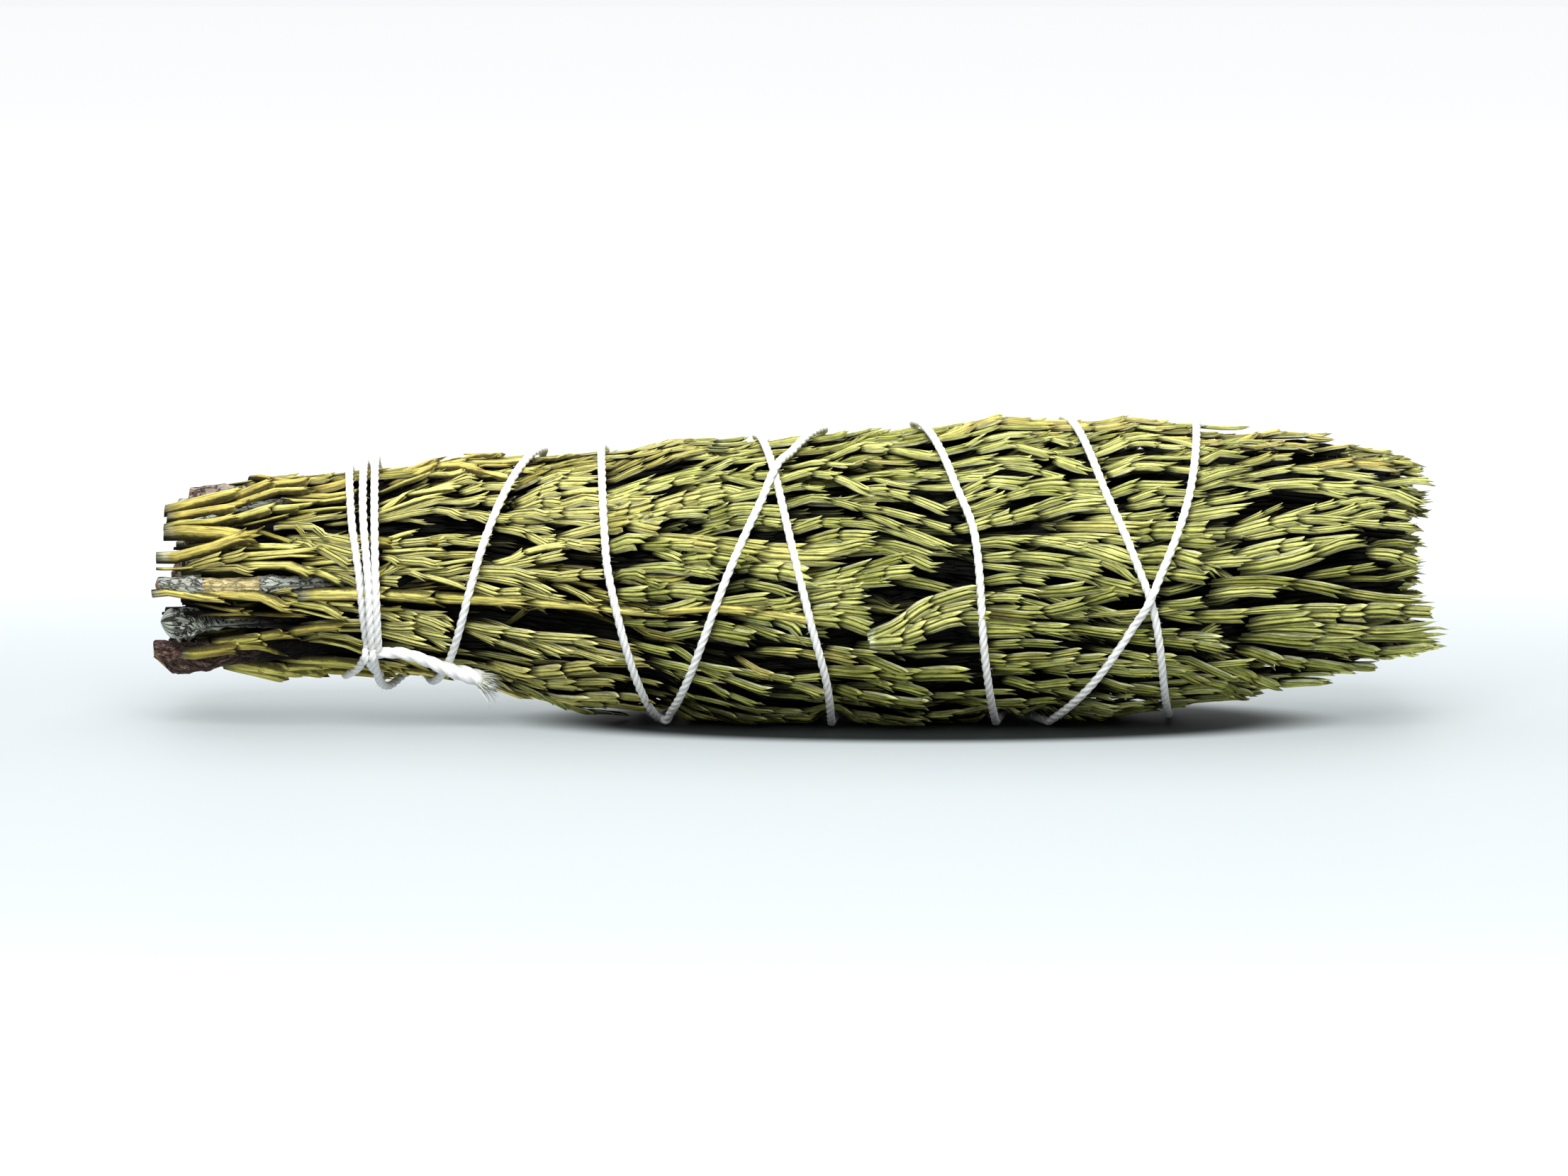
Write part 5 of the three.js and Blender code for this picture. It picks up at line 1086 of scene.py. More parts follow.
class Finish:
    """A material and the nodes that give it its look."""

    def __init__(self, name):
        self.material = bpy.data.materials.new(name)
        self.material.use_nodes = True
        self.tree = self.material.node_tree
        self.tree.nodes.clear()

    def node(self, kind, settings=None, inputs=None, out=0):
        made = self.tree.nodes.new(kind)
        for key, value in (settings or {}).items():
            if key == "stops":
                while len(made.color_ramp.elements) < len(value):
                    made.color_ramp.elements.new(0.5)
                for stop, (position, colour) in zip(made.color_ramp.elements, value):
                    stop.position = position
                    stop.color = colour
            else:
                setattr(made, key, value)
        for key, value in (inputs or {}).items():
            if isinstance(value, Value):
                self.tree.links.new(value.socket, made.inputs[key])
            else:
                made.inputs[key].default_value = value
        return Value(self, made.outputs[out])

    def mix(self, share, first, second, blend="MIX"):
        settings = {"data_type": "RGBA", "blend_type": blend}
        return self.node("ShaderNodeMix", settings, {0: share, 6: first, 7: second}, out=2)

    def noise(self, where, scale, detail=3, rough=0.55):
        inputs = {"Vector": where, "Scale": scale, "Detail": detail, "Roughness": rough}
        return self.node("ShaderNodeTexNoise", None, inputs, out="Fac")

    def stretched(self, where, scales):
        return self.node("ShaderNodeVectorMath", {"operation": "MULTIPLY"}, {0: where, 1: scales})

    def step(self, value, low, high, to_low=0.0, to_high=1.0):
        settings = {"interpolation_type": "SMOOTHSTEP"}
        inputs = {"Value": value, "From Min": low, "From Max": high, "To Min": to_low, "To Max": to_high}
        return self.node("ShaderNodeMapRange", settings, inputs)

    def object_place(self):
        return self.node("ShaderNodeTexCoord", None, None, out="Object")

    def attribute(self, name, out="Vector"):
        return self.node("ShaderNodeAttribute", {"attribute_name": name}, None, out=out)

    def parts(self, colour):
        made = self.node("ShaderNodeSeparateColor", None, {0: colour})
        sockets = made.socket.node.outputs
        return [Value(self, socket) for socket in sockets]

    def apart(self, value, level):
        """How far a value is from a level."""
        return (value - level).math("ABSOLUTE", value - level, 0.0)

    def bump(self, height, strength, distance):
        inputs = {"Height": height, "Strength": strength, "Distance": distance}
        return self.node("ShaderNodeBump", None, inputs)

    def surface(self, colour, roughness, normal, **fixed):
        inputs = {"Base Color": colour, "Roughness": roughness, "Normal": normal}
        for name, value in fixed.items():
            inputs[name.replace("_", " ")] = value
        shader = self.node("ShaderNodeBsdfPrincipled", None, inputs, out="BSDF")
        self.node_output(shader)
        return self.material

    def node_output(self, shader):
        end = self.tree.nodes.new("ShaderNodeOutputMaterial")
        self.tree.links.new(shader.socket, end.inputs["Surface"])


def colour(red, green, blue):
    """A colour given as a screen shows it, as the linear numbers that a shader takes."""
    shown = np.array([red, green, blue]) / 255
    linear = np.where(shown <= 0.04045, shown / 12.92, ((shown + 0.055) / 1.055) ** 2.4)
    return (*[float(c) for c in linear], 1.0)


def cedar_finish(name, dark, light, golden, pale):
    """Dried scale leaves: olive that varies from twig to twig and is lower, with painted shade,
    on each twig's lower side; brown where the tone is lowest; golden with age; paler at the keels
    and tips, partly as dry margins and partly as painted highlight; streaked along the leaf; with
    painted shade lines along the seams between leaves; and darker down in the gaps by the painted
    shade that the points carry."""
    f = Finish(name)
    look = f.attribute("look", "Color")
    tone, age, edge = f.parts(look)[:3]
    shade = f.attribute("look", "Alpha")
    lie = f.attribute("lie")
    where = f.object_place()
    patches = f.noise(where, 130, 2)
    streaks = f.noise(f.stretched(lie, (0.28, 4.2, 2.0)), 1.0, 4, 0.6)
    specks = f.noise(f.stretched(lie, (1.1, 3.0, 3.0)), 1.0, 5, 0.7)
    varied = tone + (patches - 0.5) * 0.9
    base = f.mix(f.step(varied, 0.15, 0.85), dark, light)
    # Brown where the tone is lowest; the tone is lowered on twigs' lower sides as painted shade.
    base = f.mix(f.step(varied, 0.3, -0.2) * 0.7, base, colour(104, 84, 44))
    base = f.mix(f.step(age + (patches - 0.5) * 0.8 + (streaks - 0.5) * 0.5, 0.2, 0.9), base, golden)
    # Pale keels and tips: partly dry margins, partly painted highlight.
    base = f.mix(f.step(edge + (specks - 0.5) * 0.5, 0.2, 0.9) * 0.85, base, pale)
    base = f.mix(1.0, base, f.step(streaks, 0.32, 0.68, 0.5, 1.3), "MULTIPLY")
    # Painted shade: thin dark lines along the seams between leaves.
    beside = f.apart(f.node("ShaderNodeSeparateXYZ", None, {0: lie}, out=2), 0.0) + (specks - 0.5) * 0.2
    seam_shade_lines = f.step(f.apart(beside, 0.34), 0.11, 0.04) + f.step(f.apart(beside, 0.64), 0.08, 0.02) * 0.5
    base = f.mix(seam_shade_lines * 0.8, base, colour(44, 40, 16))
    base = f.mix(f.step(specks, 0.62, 0.75) * 0.5, base, (0.09, 0.06, 0.02, 1))
    # Painted shade that the points carry, darkest down in the gaps.
    base = f.mix(1.0, base, shade, "MULTIPLY")
    normal = f.bump(streaks * 0.7 + specks * 0.5 - seam_shade_lines, 0.6, 0.0003)
    rough = f.step(specks, 0.2, 0.8, 0.62, 0.85)
    return f.surface(base, rough, normal, Specular_IOR_Level=0.12)


green_cedar = cedar_finish(
    "green cedar leaves", colour(147, 152, 71), colour(221, 223, 132),
    colour(200, 186, 104), colour(247, 248, 202),
)
golden_cedar = cedar_finish(
    "golden cedar leaves", colour(151, 144, 67), colour(219, 215, 129),
    colour(194, 177, 94), colour(244, 242, 200),
)
inner_cedar = cedar_finish(
    "inner cedar leaves", colour(140, 144, 72), colour(210, 212, 124),
    colour(190, 168, 92), colour(238, 238, 184),
)


def add_spray(name, lane, first, last, joint, depth_at, seed, material, bare=0):
    """One spray: its own twigs, and the twigs of it that lie on top at the front."""
    random = np.random.default_rng(seed)
    covered = COVER_TWIGS.get(name, [])
    under = thatched(lane, first, last, random, joint, bare, 1.4 if covered else 0)
    parts = [leafy(under, on_bundle(lane, depth_at), random)]
    for long, wide, tone, age, path in covered:
        steep = smoothstep(path[len(path) // 2][1], 55, 80)
        lies_on_top = twig(
            path[0][0], path[-1][0], long, base=1.3, base_over=5, wide=(0.94 - 0.25 * steep) * wide * (1.3 if path[0][0] < -57 and wide < 1 else 1), taper=0.15, thick=random.uniform(0.4, 0.6),
            tone=tone - 0.1 + (0.3 if path[0][0] < -38 else 0), age=age, depth=(1.3 * steep - 1) * random.uniform(0.3, 0.8), tip_depth=random.uniform(-0.4, 0.1),
            roll=random.normal(0, 0.12), phase=random.uniform(0, 6), small=2 if long > 7.5 and material == golden_cedar else 0,
        )
        parts.append(leafy(np.array([lies_on_top], TWIG), on_bundle(traced(path), lambda x: SKIN + 0 * x, free=0), random))
    for spray, long, wide, thick, tone, age, cut, above, path in FRONT_TWIGS:
        if spray == name:
            lies_on_top = twig(
                path[0][0], path[-1][0], long, base=0 if cut else 1.2, wide=1.15 * wide if material == golden_cedar else wide, taper=0.2,
                thick=thick, tone=tone, age=age, cut=cut, depth=-above,
                small=2 if long >= OLD_FROM and material == golden_cedar else 0,
            )
            on_top = on_bundle(traced(path), lambda x: SKIN + 0 * x, free=0)
            parts.append(leafy(np.array([lies_on_top], TWIG), on_top, random))
    points, faces, looks, lies, rails = merged(parts)
    piece = mesh_object(name, points, faces, material, looks, lies, rails)
    keep(piece, [name])


# The front sprays are covered at the cut end by the twigs that lie on top.
BUTT_FIRST = {0: -84, 1: -95, 5: -88, 6: -80, 7: -76}
TIP_BARE = {2: 30, 3: 30, 4: 30}
for index in range(len(BUTT_LANES)):
    add_spray(
        f"butt_spray_{index + 1}", butt_lane(index), BUTT_FIRST.get(index, BUTT["start"]), BUTT["end"], 8,
        lambda x: SKIN + 0 * x, 100 + index, golden_cedar,
    )
for index in range(BELLY["count"]):
    add_spray(
        f"belly_spray_{index + 1}", even_lane(BELLY, index), BELLY["start"], BELLY["end"], 6.8,
        depth_after(BUTT["end"]), 200 + index, green_cedar,
    )
for index in range(TIP["count"]):
    add_spray(
        f"tip_spray_{index + 1}", even_lane(TIP, index), TIP["start"], TIP["end"], 6.8,
        depth_after(BELLY["end"]), 300 + index, green_cedar, bare=TIP_BARE.get(index, 0),
    )


def uneven(x, around, seed, size):
    """Uneven relief of about -1 to 1 on a stem: waves along it and around it in one sum."""
    phases = np.random.default_rng(seed).uniform(0, TURN, (5, 2))
    total = 0
    for (first, second), lobes in zip(phases, (1, 2, 3, 5, 8)):
        wave = np.sin(lobes * around + x * lobes ** 0.5 / size + first)
        total = total + wave * np.cos(x / size * 0.6 + second) / lobes ** 0.5
    return total / 1.6


def bark_stem(first, last, radius_of, at, end_form, seed, bark, nodes_apart, wall_shade=1, fades=(8, 21), sides=36):
    """A stem: a cut face, and a wall with swollen nodes, cracks and flakes. at gives the place
    of a point at x that is across and out from the stem's middle. The end is rounded and
    slanted by a share of the radius. Painted shade darkens the cracks, the wall between two
    distances from the end, and the walls by wall_shade; painted light brightens rounded ends."""
    random = np.random.default_rng(seed)
    rounded, slant, faces_to = end_form
    wall = np.arange(first, last, 0.5)
    x = np.concatenate([[first] * 5, wall])[:, None]
    share = np.concatenate([[0.03, 0.35, 0.65, 0.85, 0.96], np.ones(len(wall))])[:, None]
    around = np.linspace(0, TURN, sides, endpoint=False)[None, :]
    swollen = 0.7 * rounded * np.exp(-((x - first - 3) / 4) ** 2) * uneven(x * 1.5, around, seed + 5, 5)
    for node in np.arange(first + random.uniform(4, 9), last, nodes_apart):
        swollen = swollen + 0.2 * np.exp(-((x - node - random.uniform(-2, 2)) / 0.9) ** 2)
    relief = uneven(x, around, seed, 5)
    crumbs = uneven(x * 7, around, seed + 2, 5)
    cracks = smoothstep(uneven(x * 0.35, around * 2, seed + 1, 3), 0.35, 0.75)
    rough = 1 + 2.5 * rounded
    thick = radius_of(x) * (1 + swollen + 0.09 * relief + (0.07 * crumbs - 0.16 * cracks) * rough) * share
    near_end = np.exp(-(x - first) / 6)
    slanted = slant * share * (1 + np.cos(around - math.radians(faces_to)))
    domed = rounded * (1 - np.sqrt(1 - 0.999 * share ** 2)) + 0.08 * crumbs * (1 - share)
    along = x + radius_of(x) * (slanted + domed) * near_end
    points = at(along, thick * np.sin(around), thick * np.cos(around))
    grey, red, peeled = bark
    cut = (1 - smoothstep(share, 0.8, 0.97)) * (rounded < 0.5)
    # Painted shade in the cracks, and on the wall past the end where the stem dives under the foliage.
    shade = lerp(1, 0.25, cracks * (share > 0.97))
    shade = shade * lerp(1, 0.45 if peeled > 0.5 else 0.06, smoothstep(x, first + fades[0], first + fades[1]))
    # Painted shade on the walls by wall_shade; painted light on rounded ends.
    shade = shade * np.maximum(cut, wall_shade) * (1 + 1.3 * rounded * (share < 0.99))
    bands = np.zeros_like(x)
    for start, end in PEELED:
        bands = bands + smoothstep(x, start - 1, start + 0.6) * (1 - smoothstep(x, end - 0.6, end + 1))
    looks = np.stack(np.broadcast_arrays(grey + 0.25 * relief, red, peeled * bands, shade), -1)
    lies = np.stack(np.broadcast_arrays(x + 31 * seed, around * radius_of(x), cut), -1)
    points = points.reshape(-1, 3)
    return points, tube_faces(*along.shape), looks.reshape(-1, 4), lies.reshape(-1, 3), np.full(len(points), -1)


def add_bark(name, stems, nodes):
    points, faces, looks, lies, rails = merged(stems)
    keep(mesh_object(name, points, faces, bark_material, looks, lies), nodes)


# Where the peeled stem shows its pale wood.
PEELED = [[-98.5, -89.3], [-66, -58]]


def bark_finish():
    """Bark that is grey, brown or red-brown from stem to stem, with flakes and dark cracks,
    cream where it has peeled, and tan wood on the cut faces, all multiplied by the painted
    shade that the points carry."""
    f = Finish("cedar bark")
    grey, red, peeled = f.parts(f.attribute("look", "Color"))[:3]
    shade = f.attribute("look", "Alpha")
    lie = f.attribute("lie")
    cut = f.node("ShaderNodeSeparateXYZ", None, {0: lie}, out=2)
    flakes = f.noise(f.stretched(lie, (0.7, 1.5, 0)), 1.0, 6, 0.7)
    fibres = f.noise(f.stretched(lie, (0.5, 5.5, 0)), 1.0, 4, 0.6)
    base = f.mix(f.step(grey + (flakes - 0.5) * 1.4, 0.2, 0.8), colour(160, 134, 120), colour(190, 196, 182))
    base = f.mix(f.step(red + (fibres - 0.5) * 0.9, 0.3, 1.0), base, f.mix(f.step(flakes, 0.6, 0.4), colour(72, 46, 38), colour(136, 108, 96)))
    base = f.mix(f.step(peeled + (flakes - 0.5) * 1.1, 0.35, 0.6), base, colour(234, 214, 150))
    folds = f.noise(f.stretched(lie, (0.32, 0.7, 0)), 1.0, 4, 0.6)
    bare = f.step(peeled, 0.4, 0.8, 1, 0.25)
    base = f.mix(f.step(flakes, 0.58, 0.63) * bare * 0.8, base, colour(58, 42, 32))
    base = f.mix(f.step(flakes, 0.46, 0.4) * f.step(red, 0.9, 0.3, 0.1, 0.6), base, colour(214, 210, 200))
    base = f.mix(f.step(f.apart(folds, 0.5) - f.step(grey, 0.8, 1.0, 0, 0.03), 0.025, 0.008) * bare * 0.9, base, colour(30, 26, 22))
    base = f.mix(1.0, base, f.step(fibres, 0.25, 0.7, 0.55, 1.15), "MULTIPLY")
    base = f.mix(f.step(cut, 0.3, 0.7) * 0.8, base, f.mix(f.step(fibres, 0.3, 0.7), colour(150, 116, 70), colour(206, 176, 124)))
    # Painted shade that the points carry.
    base = f.mix(1.0, base, shade, "MULTIPLY")
    normal = f.bump(flakes + fibres * 0.5 + f.step(f.apart(folds, 0.5), 0.0, 0.05), 1.0, 0.0007)
    return f.surface(base, 0.85, normal, Specular_IOR_Level=0.2)


bark_material = bark_finish()


def woody_place(angle, radius, turns, dives, stands_out=0):
    """Where a point of a woody stem is: the stem lies against the outline and dives under the
    foliage past the first turns."""
    def at(x, across, out):
        middle_depth = radius * 1.12 + 0.3 + dives * smoothstep(x, *WOODY_DIVES)
        middle_depth = middle_depth - stands_out * (1 - smoothstep(x, -102, -84))
        turn = np.radians(angle + turns * smoothstep(x, -108, -60)) - across / radius_at(x)
        return place(x, wandered(x, turn), middle_depth - out)
    return at


def inner_place(index):
    """Where a point of an inner stem or spray is: index 0 runs in the middle, the others in a
    ring around it."""
    def at(x, across, out):
        middle, half, side = section(x)
        share = 0 if index == 0 else lerp(INNER_NEAR, INNER_FAR, smoothstep(x, *INNER_OPENS))
        angle = TURN * index / 6 + INNER_TWIST * x
        away = share * half + out
        return np.stack(np.broadcast_arrays(
            x, -away * np.cos(angle) + across * np.sin(angle), middle + away * np.sin(angle) + across * np.cos(angle),
        ), -1)
    return at


def tube_faces(rings, sides):
    """The triangles of a closed tube, its two ends closed by fans."""
    j = np.arange(sides)
    k = (j + 1) % sides
    low = (np.arange(rings - 1) * sides)[:, None]
    high = low + sides
    walls = np.vstack([
        np.stack([low + j, low + k, high + k], -1).reshape(-1, 3),
        np.stack([low + j, high + k, high + j], -1).reshape(-1, 3),
    ])
    first = np.stack([np.zeros(sides - 2, int), j[2:], j[1:-1]], -1)
    last = (rings - 1) * sides + np.stack([np.zeros(sides - 2, int), j[1:-1], j[2:]], -1)
    return np.vstack([walls, first, last])


for index, (angle, radius, first, last, *bark) in enumerate(WOODY_STEMS):
    stays, rounded, slant, faces_to, turns, dives, stands_out = WOODY_ENDS[index]
    narrowing = lambda x, radius=radius, first=first, stays=stays: (
        radius * lerp(1, stays, smoothstep(x, first + 3.5, first + 11)) * lerp(1, 0.6, smoothstep(x, *WOODY_DIVES))
    )
    stem = bark_stem(
        first, last, narrowing, woody_place(angle, radius, turns, dives, stands_out),
        [rounded, slant, faces_to], index, bark, 13, fades=(20, 42) if bark[2] > 0.5 else (8, 21),
    )
    add_bark(f"woody_stem_{index + 1}", [stem], [f"woody_stem_{index + 1}"])
thin_stem = bark_stem(-103.8, -80, lambda x: 0.6 + 0 * x, woody_place(47, 0.5, 12, 0.4), [0.2, 0.2, 0], 33, [0.8, 0.2, 0], 9)
add_bark("thin_grey_stem", [thin_stem], [])
for index in range(INNER_COUNT):
    # Inner stems: walls dark with painted shade, cut faces lit.
    stem = bark_stem(
        (-104 if index < 4 else -97) + (index * 37 % 10) * 0.4, -52, lambda x: 1.4 + 0 * x, inner_place(index),
        [0.1, 0.2, 0], 20 + index, [0.4, 0.5, 0], 15, wall_shade=0.2,
    )
    add_bark(f"inner_stem_{index + 1}", [stem], [f"inner_stem_{index + 1}"])


def inner_lay(at, depth_at):
    """How inner twigs lie beside a stem's place: share is across and to_share out from it, in
    millimetres where the bundle is thick, and depth_at tells how deep in painted shade x is.
    They get a little painted light, as if low on the bundle."""
    def lay(t, x, u, aside, rise):
        narrower = section(x)[1] / 19
        placed = at(x, t["share"] * narrower + aside, t["to_share"] * narrower + rise)
        return placed, depth_at(x) + 0 * aside, 0, 0.3
    return lay


def cut_end():
    """Thin stems and old twigs that fill the cut end, spread like a sunflower's seeds, with the
    places of the inner stems left free. They start later at the height where one sees through."""
    random = np.random.default_rng(50)
    stems, twigs = [], []
    number = np.arange(90)
    reach = 15.5 * np.sqrt((number + 0.5) / len(number))
    turn = number * math.pi * (3 - math.sqrt(5))
    inner = np.array([[0, 0]] + [[INNER_NEAR * 19 * math.sin(TURN * k / 6), INNER_NEAR * 19 * math.cos(TURN * k / 6)] for k in range(1, 7)])
    for across, out in np.stack([reach * np.sin(turn), reach * np.cos(turn)], -1):
        if np.hypot(*(inner - [across, out]).T).min() < 2.4:
            continue
        height = 0.92 * across - 0.39 * out
        first = random.uniform(-95, -92) if -9 < height < -2 else random.uniform(-103, -97)
        if random.random() < 0.35:
            thick = random.uniform(0.6, 1.1)

            def beside(x, aside, rise, across=across, out=out):
                narrower = section(x)[1] / 19
                return inner_place(0)(x, across * narrower + aside, out * narrower + rise)

            # Their walls take painted shade a few millimetres from the cut end.
            stems.append(bark_stem(
                first, -74, lambda x, thick=thick: thick + 0 * x, beside, [0.1, 0.2, 0], 60 + len(stems),
                [random.uniform(0, 0.8), random.uniform(0, 0.8), 0], 9, wall_shade=0.8, fades=(2.5, 8), sides=12,
            ))
        else:
            twigs.append(twig(
                first, -72, 8, share=across, to_share=out, wide=random.uniform(0.9, 1.4), thick=0.8, base=0,
                roll=random.uniform(0, 6), tone=random.uniform(0.2, 0.6), age=random.uniform(0, 0.6), small=2, cut=0.5,
                phase=random.uniform(0, 6),
            ))
    add_bark("cut_end_stems", stems, [])
    # Painted shade: the twigs are lit near their cut ends and dark deeper in.
    lay = inner_lay(inner_place(0), lambda x: lerp(0.65, 2, smoothstep(x, -96, -88)))
    points, faces, looks, lies, rails = leafy(np.array(twigs, TWIG), lay, random)
    keep(mesh_object("cut_end_twigs", points, faces, golden_cedar, looks, lies, rails), [])


cut_end()


def inner_spray(index):
    """An inner spray: a pressed body of leaves with lengthwise ridges, nearly black with painted
    shade, and its leafy tips, spread like a sunflower's seeds, which painted shade darkens
    away from the tip end."""
    name = f"inner_spray_{index + 1}"
    random = np.random.default_rng(400 + index)
    at = inner_place(index)
    x = np.linspace(-51.6, 90, 110)[:, None]
    around = np.linspace(0, TURN, 28, endpoint=False)[None, :]
    full = section(x)[1] * 0.25 * smoothstep(x, -60, -30) * lerp(1, 0.5, smoothstep(x, 70, 90)) + 0.3
    out = full * (1 + 0.13 * uneven(x, around * 2, 400 + index, 9) + 0.05 * np.sin(7 * around + x / 5))
    body = at(x, out * np.sin(around), out * np.cos(around)).reshape(-1, 3)
    faces = tube_faces(*out.shape)
    # The body is nearly black with painted shade.
    looks = np.tile([0.2, 0, 0, 0.08], (len(body), 1))
    lies = np.stack(np.broadcast_arrays(x, around * 4, 0), -1).reshape(-1, 3)
    twigs = []
    for k in range(30):
        angle = 2.4 * k + random.uniform(-0.2, 0.2)
        reach = 6.4 * math.sqrt((k + 0.5) / 30)
        twigs.append(twig(
            random.uniform(80, 86), TIP["end"] + random.uniform(-4, 1.5), 4.8,
            share=reach * math.sin(angle), to_share=reach * math.cos(angle) + (1.9 if index else 0),
            wide=random.uniform(1.1, 1.6), thick=0.6, roll=random.uniform(0, 6), tone=random.uniform(0.35, 0.8),
            age=random.uniform(-0.2, 0.5), base=0, small=1, phase=random.uniform(0, 6),
        ))
    # Painted shade on the tips, lifting towards the tip end.
    tips = leafy(np.array(twigs, TWIG), inner_lay(at, lambda x: lerp(1.75, 0.6, smoothstep(x, 90, 99))), random)
    points, faces, looks, lies, rails = merged([(body, faces, looks, lies, np.full(len(body), -1)), tips])
    piece = mesh_object(name, points, faces, inner_cedar, looks, lies, rails)
    keep(piece, [name])


for index in range(INNER_COUNT):
    inner_spray(index)


def string_points():
    """The string's centre line: it lies in the foliage that it presses, rises over its own
    earlier turns, and stays above the surface under the belly."""
    turned = np.arange(ROUTE_START, ROUTE_END, -0.5)
    x = smooth_through(ROUTE, turned)
    rise = np.zeros(len(x))
    earlier = turned + 360
    while earlier.min() <= ROUTE_START:
        apart = np.abs(x - smooth_through(ROUTE, np.minimum(earlier, ROUTE_START)))
        over = CROSSING_RISE * (1 - smoothstep(apart, CROSSING_NEAR, CROSSING_FAR))
        rise = np.maximum(rise, np.where(earlier <= ROUTE_START, over, 0))
        earlier = earlier + 360
    depth = SKIN + PRESS - GAP - STRING / 2 - rise
    return rest_on(x, np.radians(turned), depth, STRING / 2 + STRING_CLEAR)


def rest_on(x, angle, depth, radius):
    """A point at a plain depth that stays its own radius above the surface."""
    middle, half, side = section(x)
    z = middle + (half - depth) * np.sin(angle)
    return np.stack([x, -(side - depth) * np.cos(angle), np.maximum(z, radius)], -1)


def evenly(points, step):
    """The same path with points one step apart."""
    lengths = np.linalg.norm(np.diff(points, axis=0), axis=1)
    travelled = np.append(0, np.cumsum(lengths))
    at = np.linspace(0, travelled[-1], max(2, round(travelled[-1] / step)))
    return np.stack([np.interp(at, travelled, points[:, i]) for i in range(3)], -1), at


def frames(path):
    """Unit vectors along a path, away from the bundle's middle, and across both."""
    along = np.gradient(path, axis=0)
    along /= np.linalg.norm(along, axis=1)[:, None]
    middle = section(path[:, 0])[0]
    out = np.stack([np.zeros(len(path)), path[:, 1], path[:, 2] - middle], -1)
    out -= np.einsum("ij,ij->i", out, along)[:, None] * along
    out /= np.linalg.norm(out, axis=1)[:, None]
    return along, out, np.cross(along, out)


def plied(path, radius, pitch, at, plies=3, sides=15):
    """A twisted cord: each ring is the outline of the plies' circles side by side, and the
    rings turn once in a pitch. It returns points, faces and how deep in a groove each is."""
    along, out, across = frames(path)
    ply = 0.5 + 0.15 / plies
    within = np.linspace(0, TURN, sides, endpoint=False)
    nearest = (within + math.pi / plies) % (TURN / plies) - math.pi / plies
    reach = (1 - ply) * np.cos(nearest) + np.sqrt(ply ** 2 - ((1 - ply) * np.sin(nearest)) ** 2)
    reach = lerp(reach.mean(), reach, 0.65)
    turn = within[None, :] + TURN * at[:, None] / pitch
    size = (np.ones(len(path)) * radius)[:, None] * reach[None, :]
    points = path[:, None, :] + size[..., None] * (
        np.cos(turn)[..., None] * out[:, None, :] + np.sin(turn)[..., None] * across[:, None, :]
    )
    groove = (1 - (reach - reach.min()) / (reach.max() - reach.min()))[None, :] * np.ones((len(path), 1))
    return points, tube_faces(len(path), sides), groove


def cotton_finish():
    """White cotton: fine fibres along the plies, and a little grey painted shade down in the grooves."""
    f = Finish("white cotton")
    groove, worn = f.parts(f.attribute("look", "Color"))[:2]
    lie = f.attribute("lie")
    fibres = f.noise(f.stretched(lie, (1.4, 9.0, 1.0)), 1.0, 4, 0.65)
    # Painted shade: greyer deeper in the grooves between plies.
    base = f.mix(f.step(groove, 0.3, 1.0) * 0.4, colour(250, 250, 247), colour(186, 188, 184))
    base = f.mix(f.step(worn, 0.55, 1.0) * 0.8, base, colour(158, 164, 128))
    base = f.mix(1.0, base, f.step(fibres, 0.3, 0.7, 0.86, 1.04), "MULTIPLY")
    normal = f.bump(fibres, 0.6, 0.00025)
    return f.surface(base, 0.9, normal, Specular_IOR_Level=0.2, Sheen_Weight=0.2)


cotton = cotton_finish()


def cord_part(points, radius, pitch, plies=3, step=0.43, worn=0):
    """A length of twisted cord along some points, as points, faces, looks and lies."""
    path, at = evenly(points, step)
    if callable(radius):
        radius = radius(at / at[-1])
    points, faces, groove = plied(path, radius, pitch, at, plies)
    if callable(worn):
        worn = worn(at / at[-1])[:, None]
    looks = np.stack(np.broadcast_arrays(groove, worn, 0, 1), -1).reshape(-1, 4)
    ring = np.broadcast_to(np.arange(groove.shape[1]), groove.shape)
    lies = np.stack(np.broadcast_arrays(at[:, None], ring * 0.26, 0), -1).reshape(-1, 3)
    return points.reshape(-1, 3), faces, looks, lies, np.full(len(lies), -1)


def fibres(roots, ways, lengths, thick, worn):
    """Loose fibres: closed three-sided needles from their roots, bent a little halfway."""
    ways = ways / np.linalg.norm(ways, axis=1)[:, None]
    side = np.cross(ways, [0.3, 0.5, 0.8])
    side /= np.linalg.norm(side, axis=1)[:, None]
    other = np.cross(ways, side)
    rings = []
    for share, bend, size in ((0, 0, 1), (0.5, 0.12, 0.8)):
        middle = roots + ways * (lengths * share)[:, None] + side * (lengths * bend)[:, None]
        for turn in (0, TURN / 3, 2 * TURN / 3):
            rings.append(middle + thick * size * (math.cos(turn) * side + math.sin(turn) * other))
    rings.append(roots + ways * lengths[:, None])
    points = np.stack(rings, 1)
    faces = np.array([[0, 2, 1], [0, 1, 4], [0, 4, 3], [1, 2, 5], [1, 5, 4], [2, 0, 3], [2, 3, 5], [3, 4, 6], [4, 5, 6], [5, 3, 6]])
    faces = faces[None] + (np.arange(len(roots)) * 7)[:, None, None]
    looks = np.stack(np.broadcast_arrays(0.1, worn[:, None], 0, np.ones((1, 7))), -1).reshape(-1, 4)
    lies = points.reshape(-1, 3)
    return lies, faces.reshape(-1, 3), looks, lies, np.full(len(lies), -1)


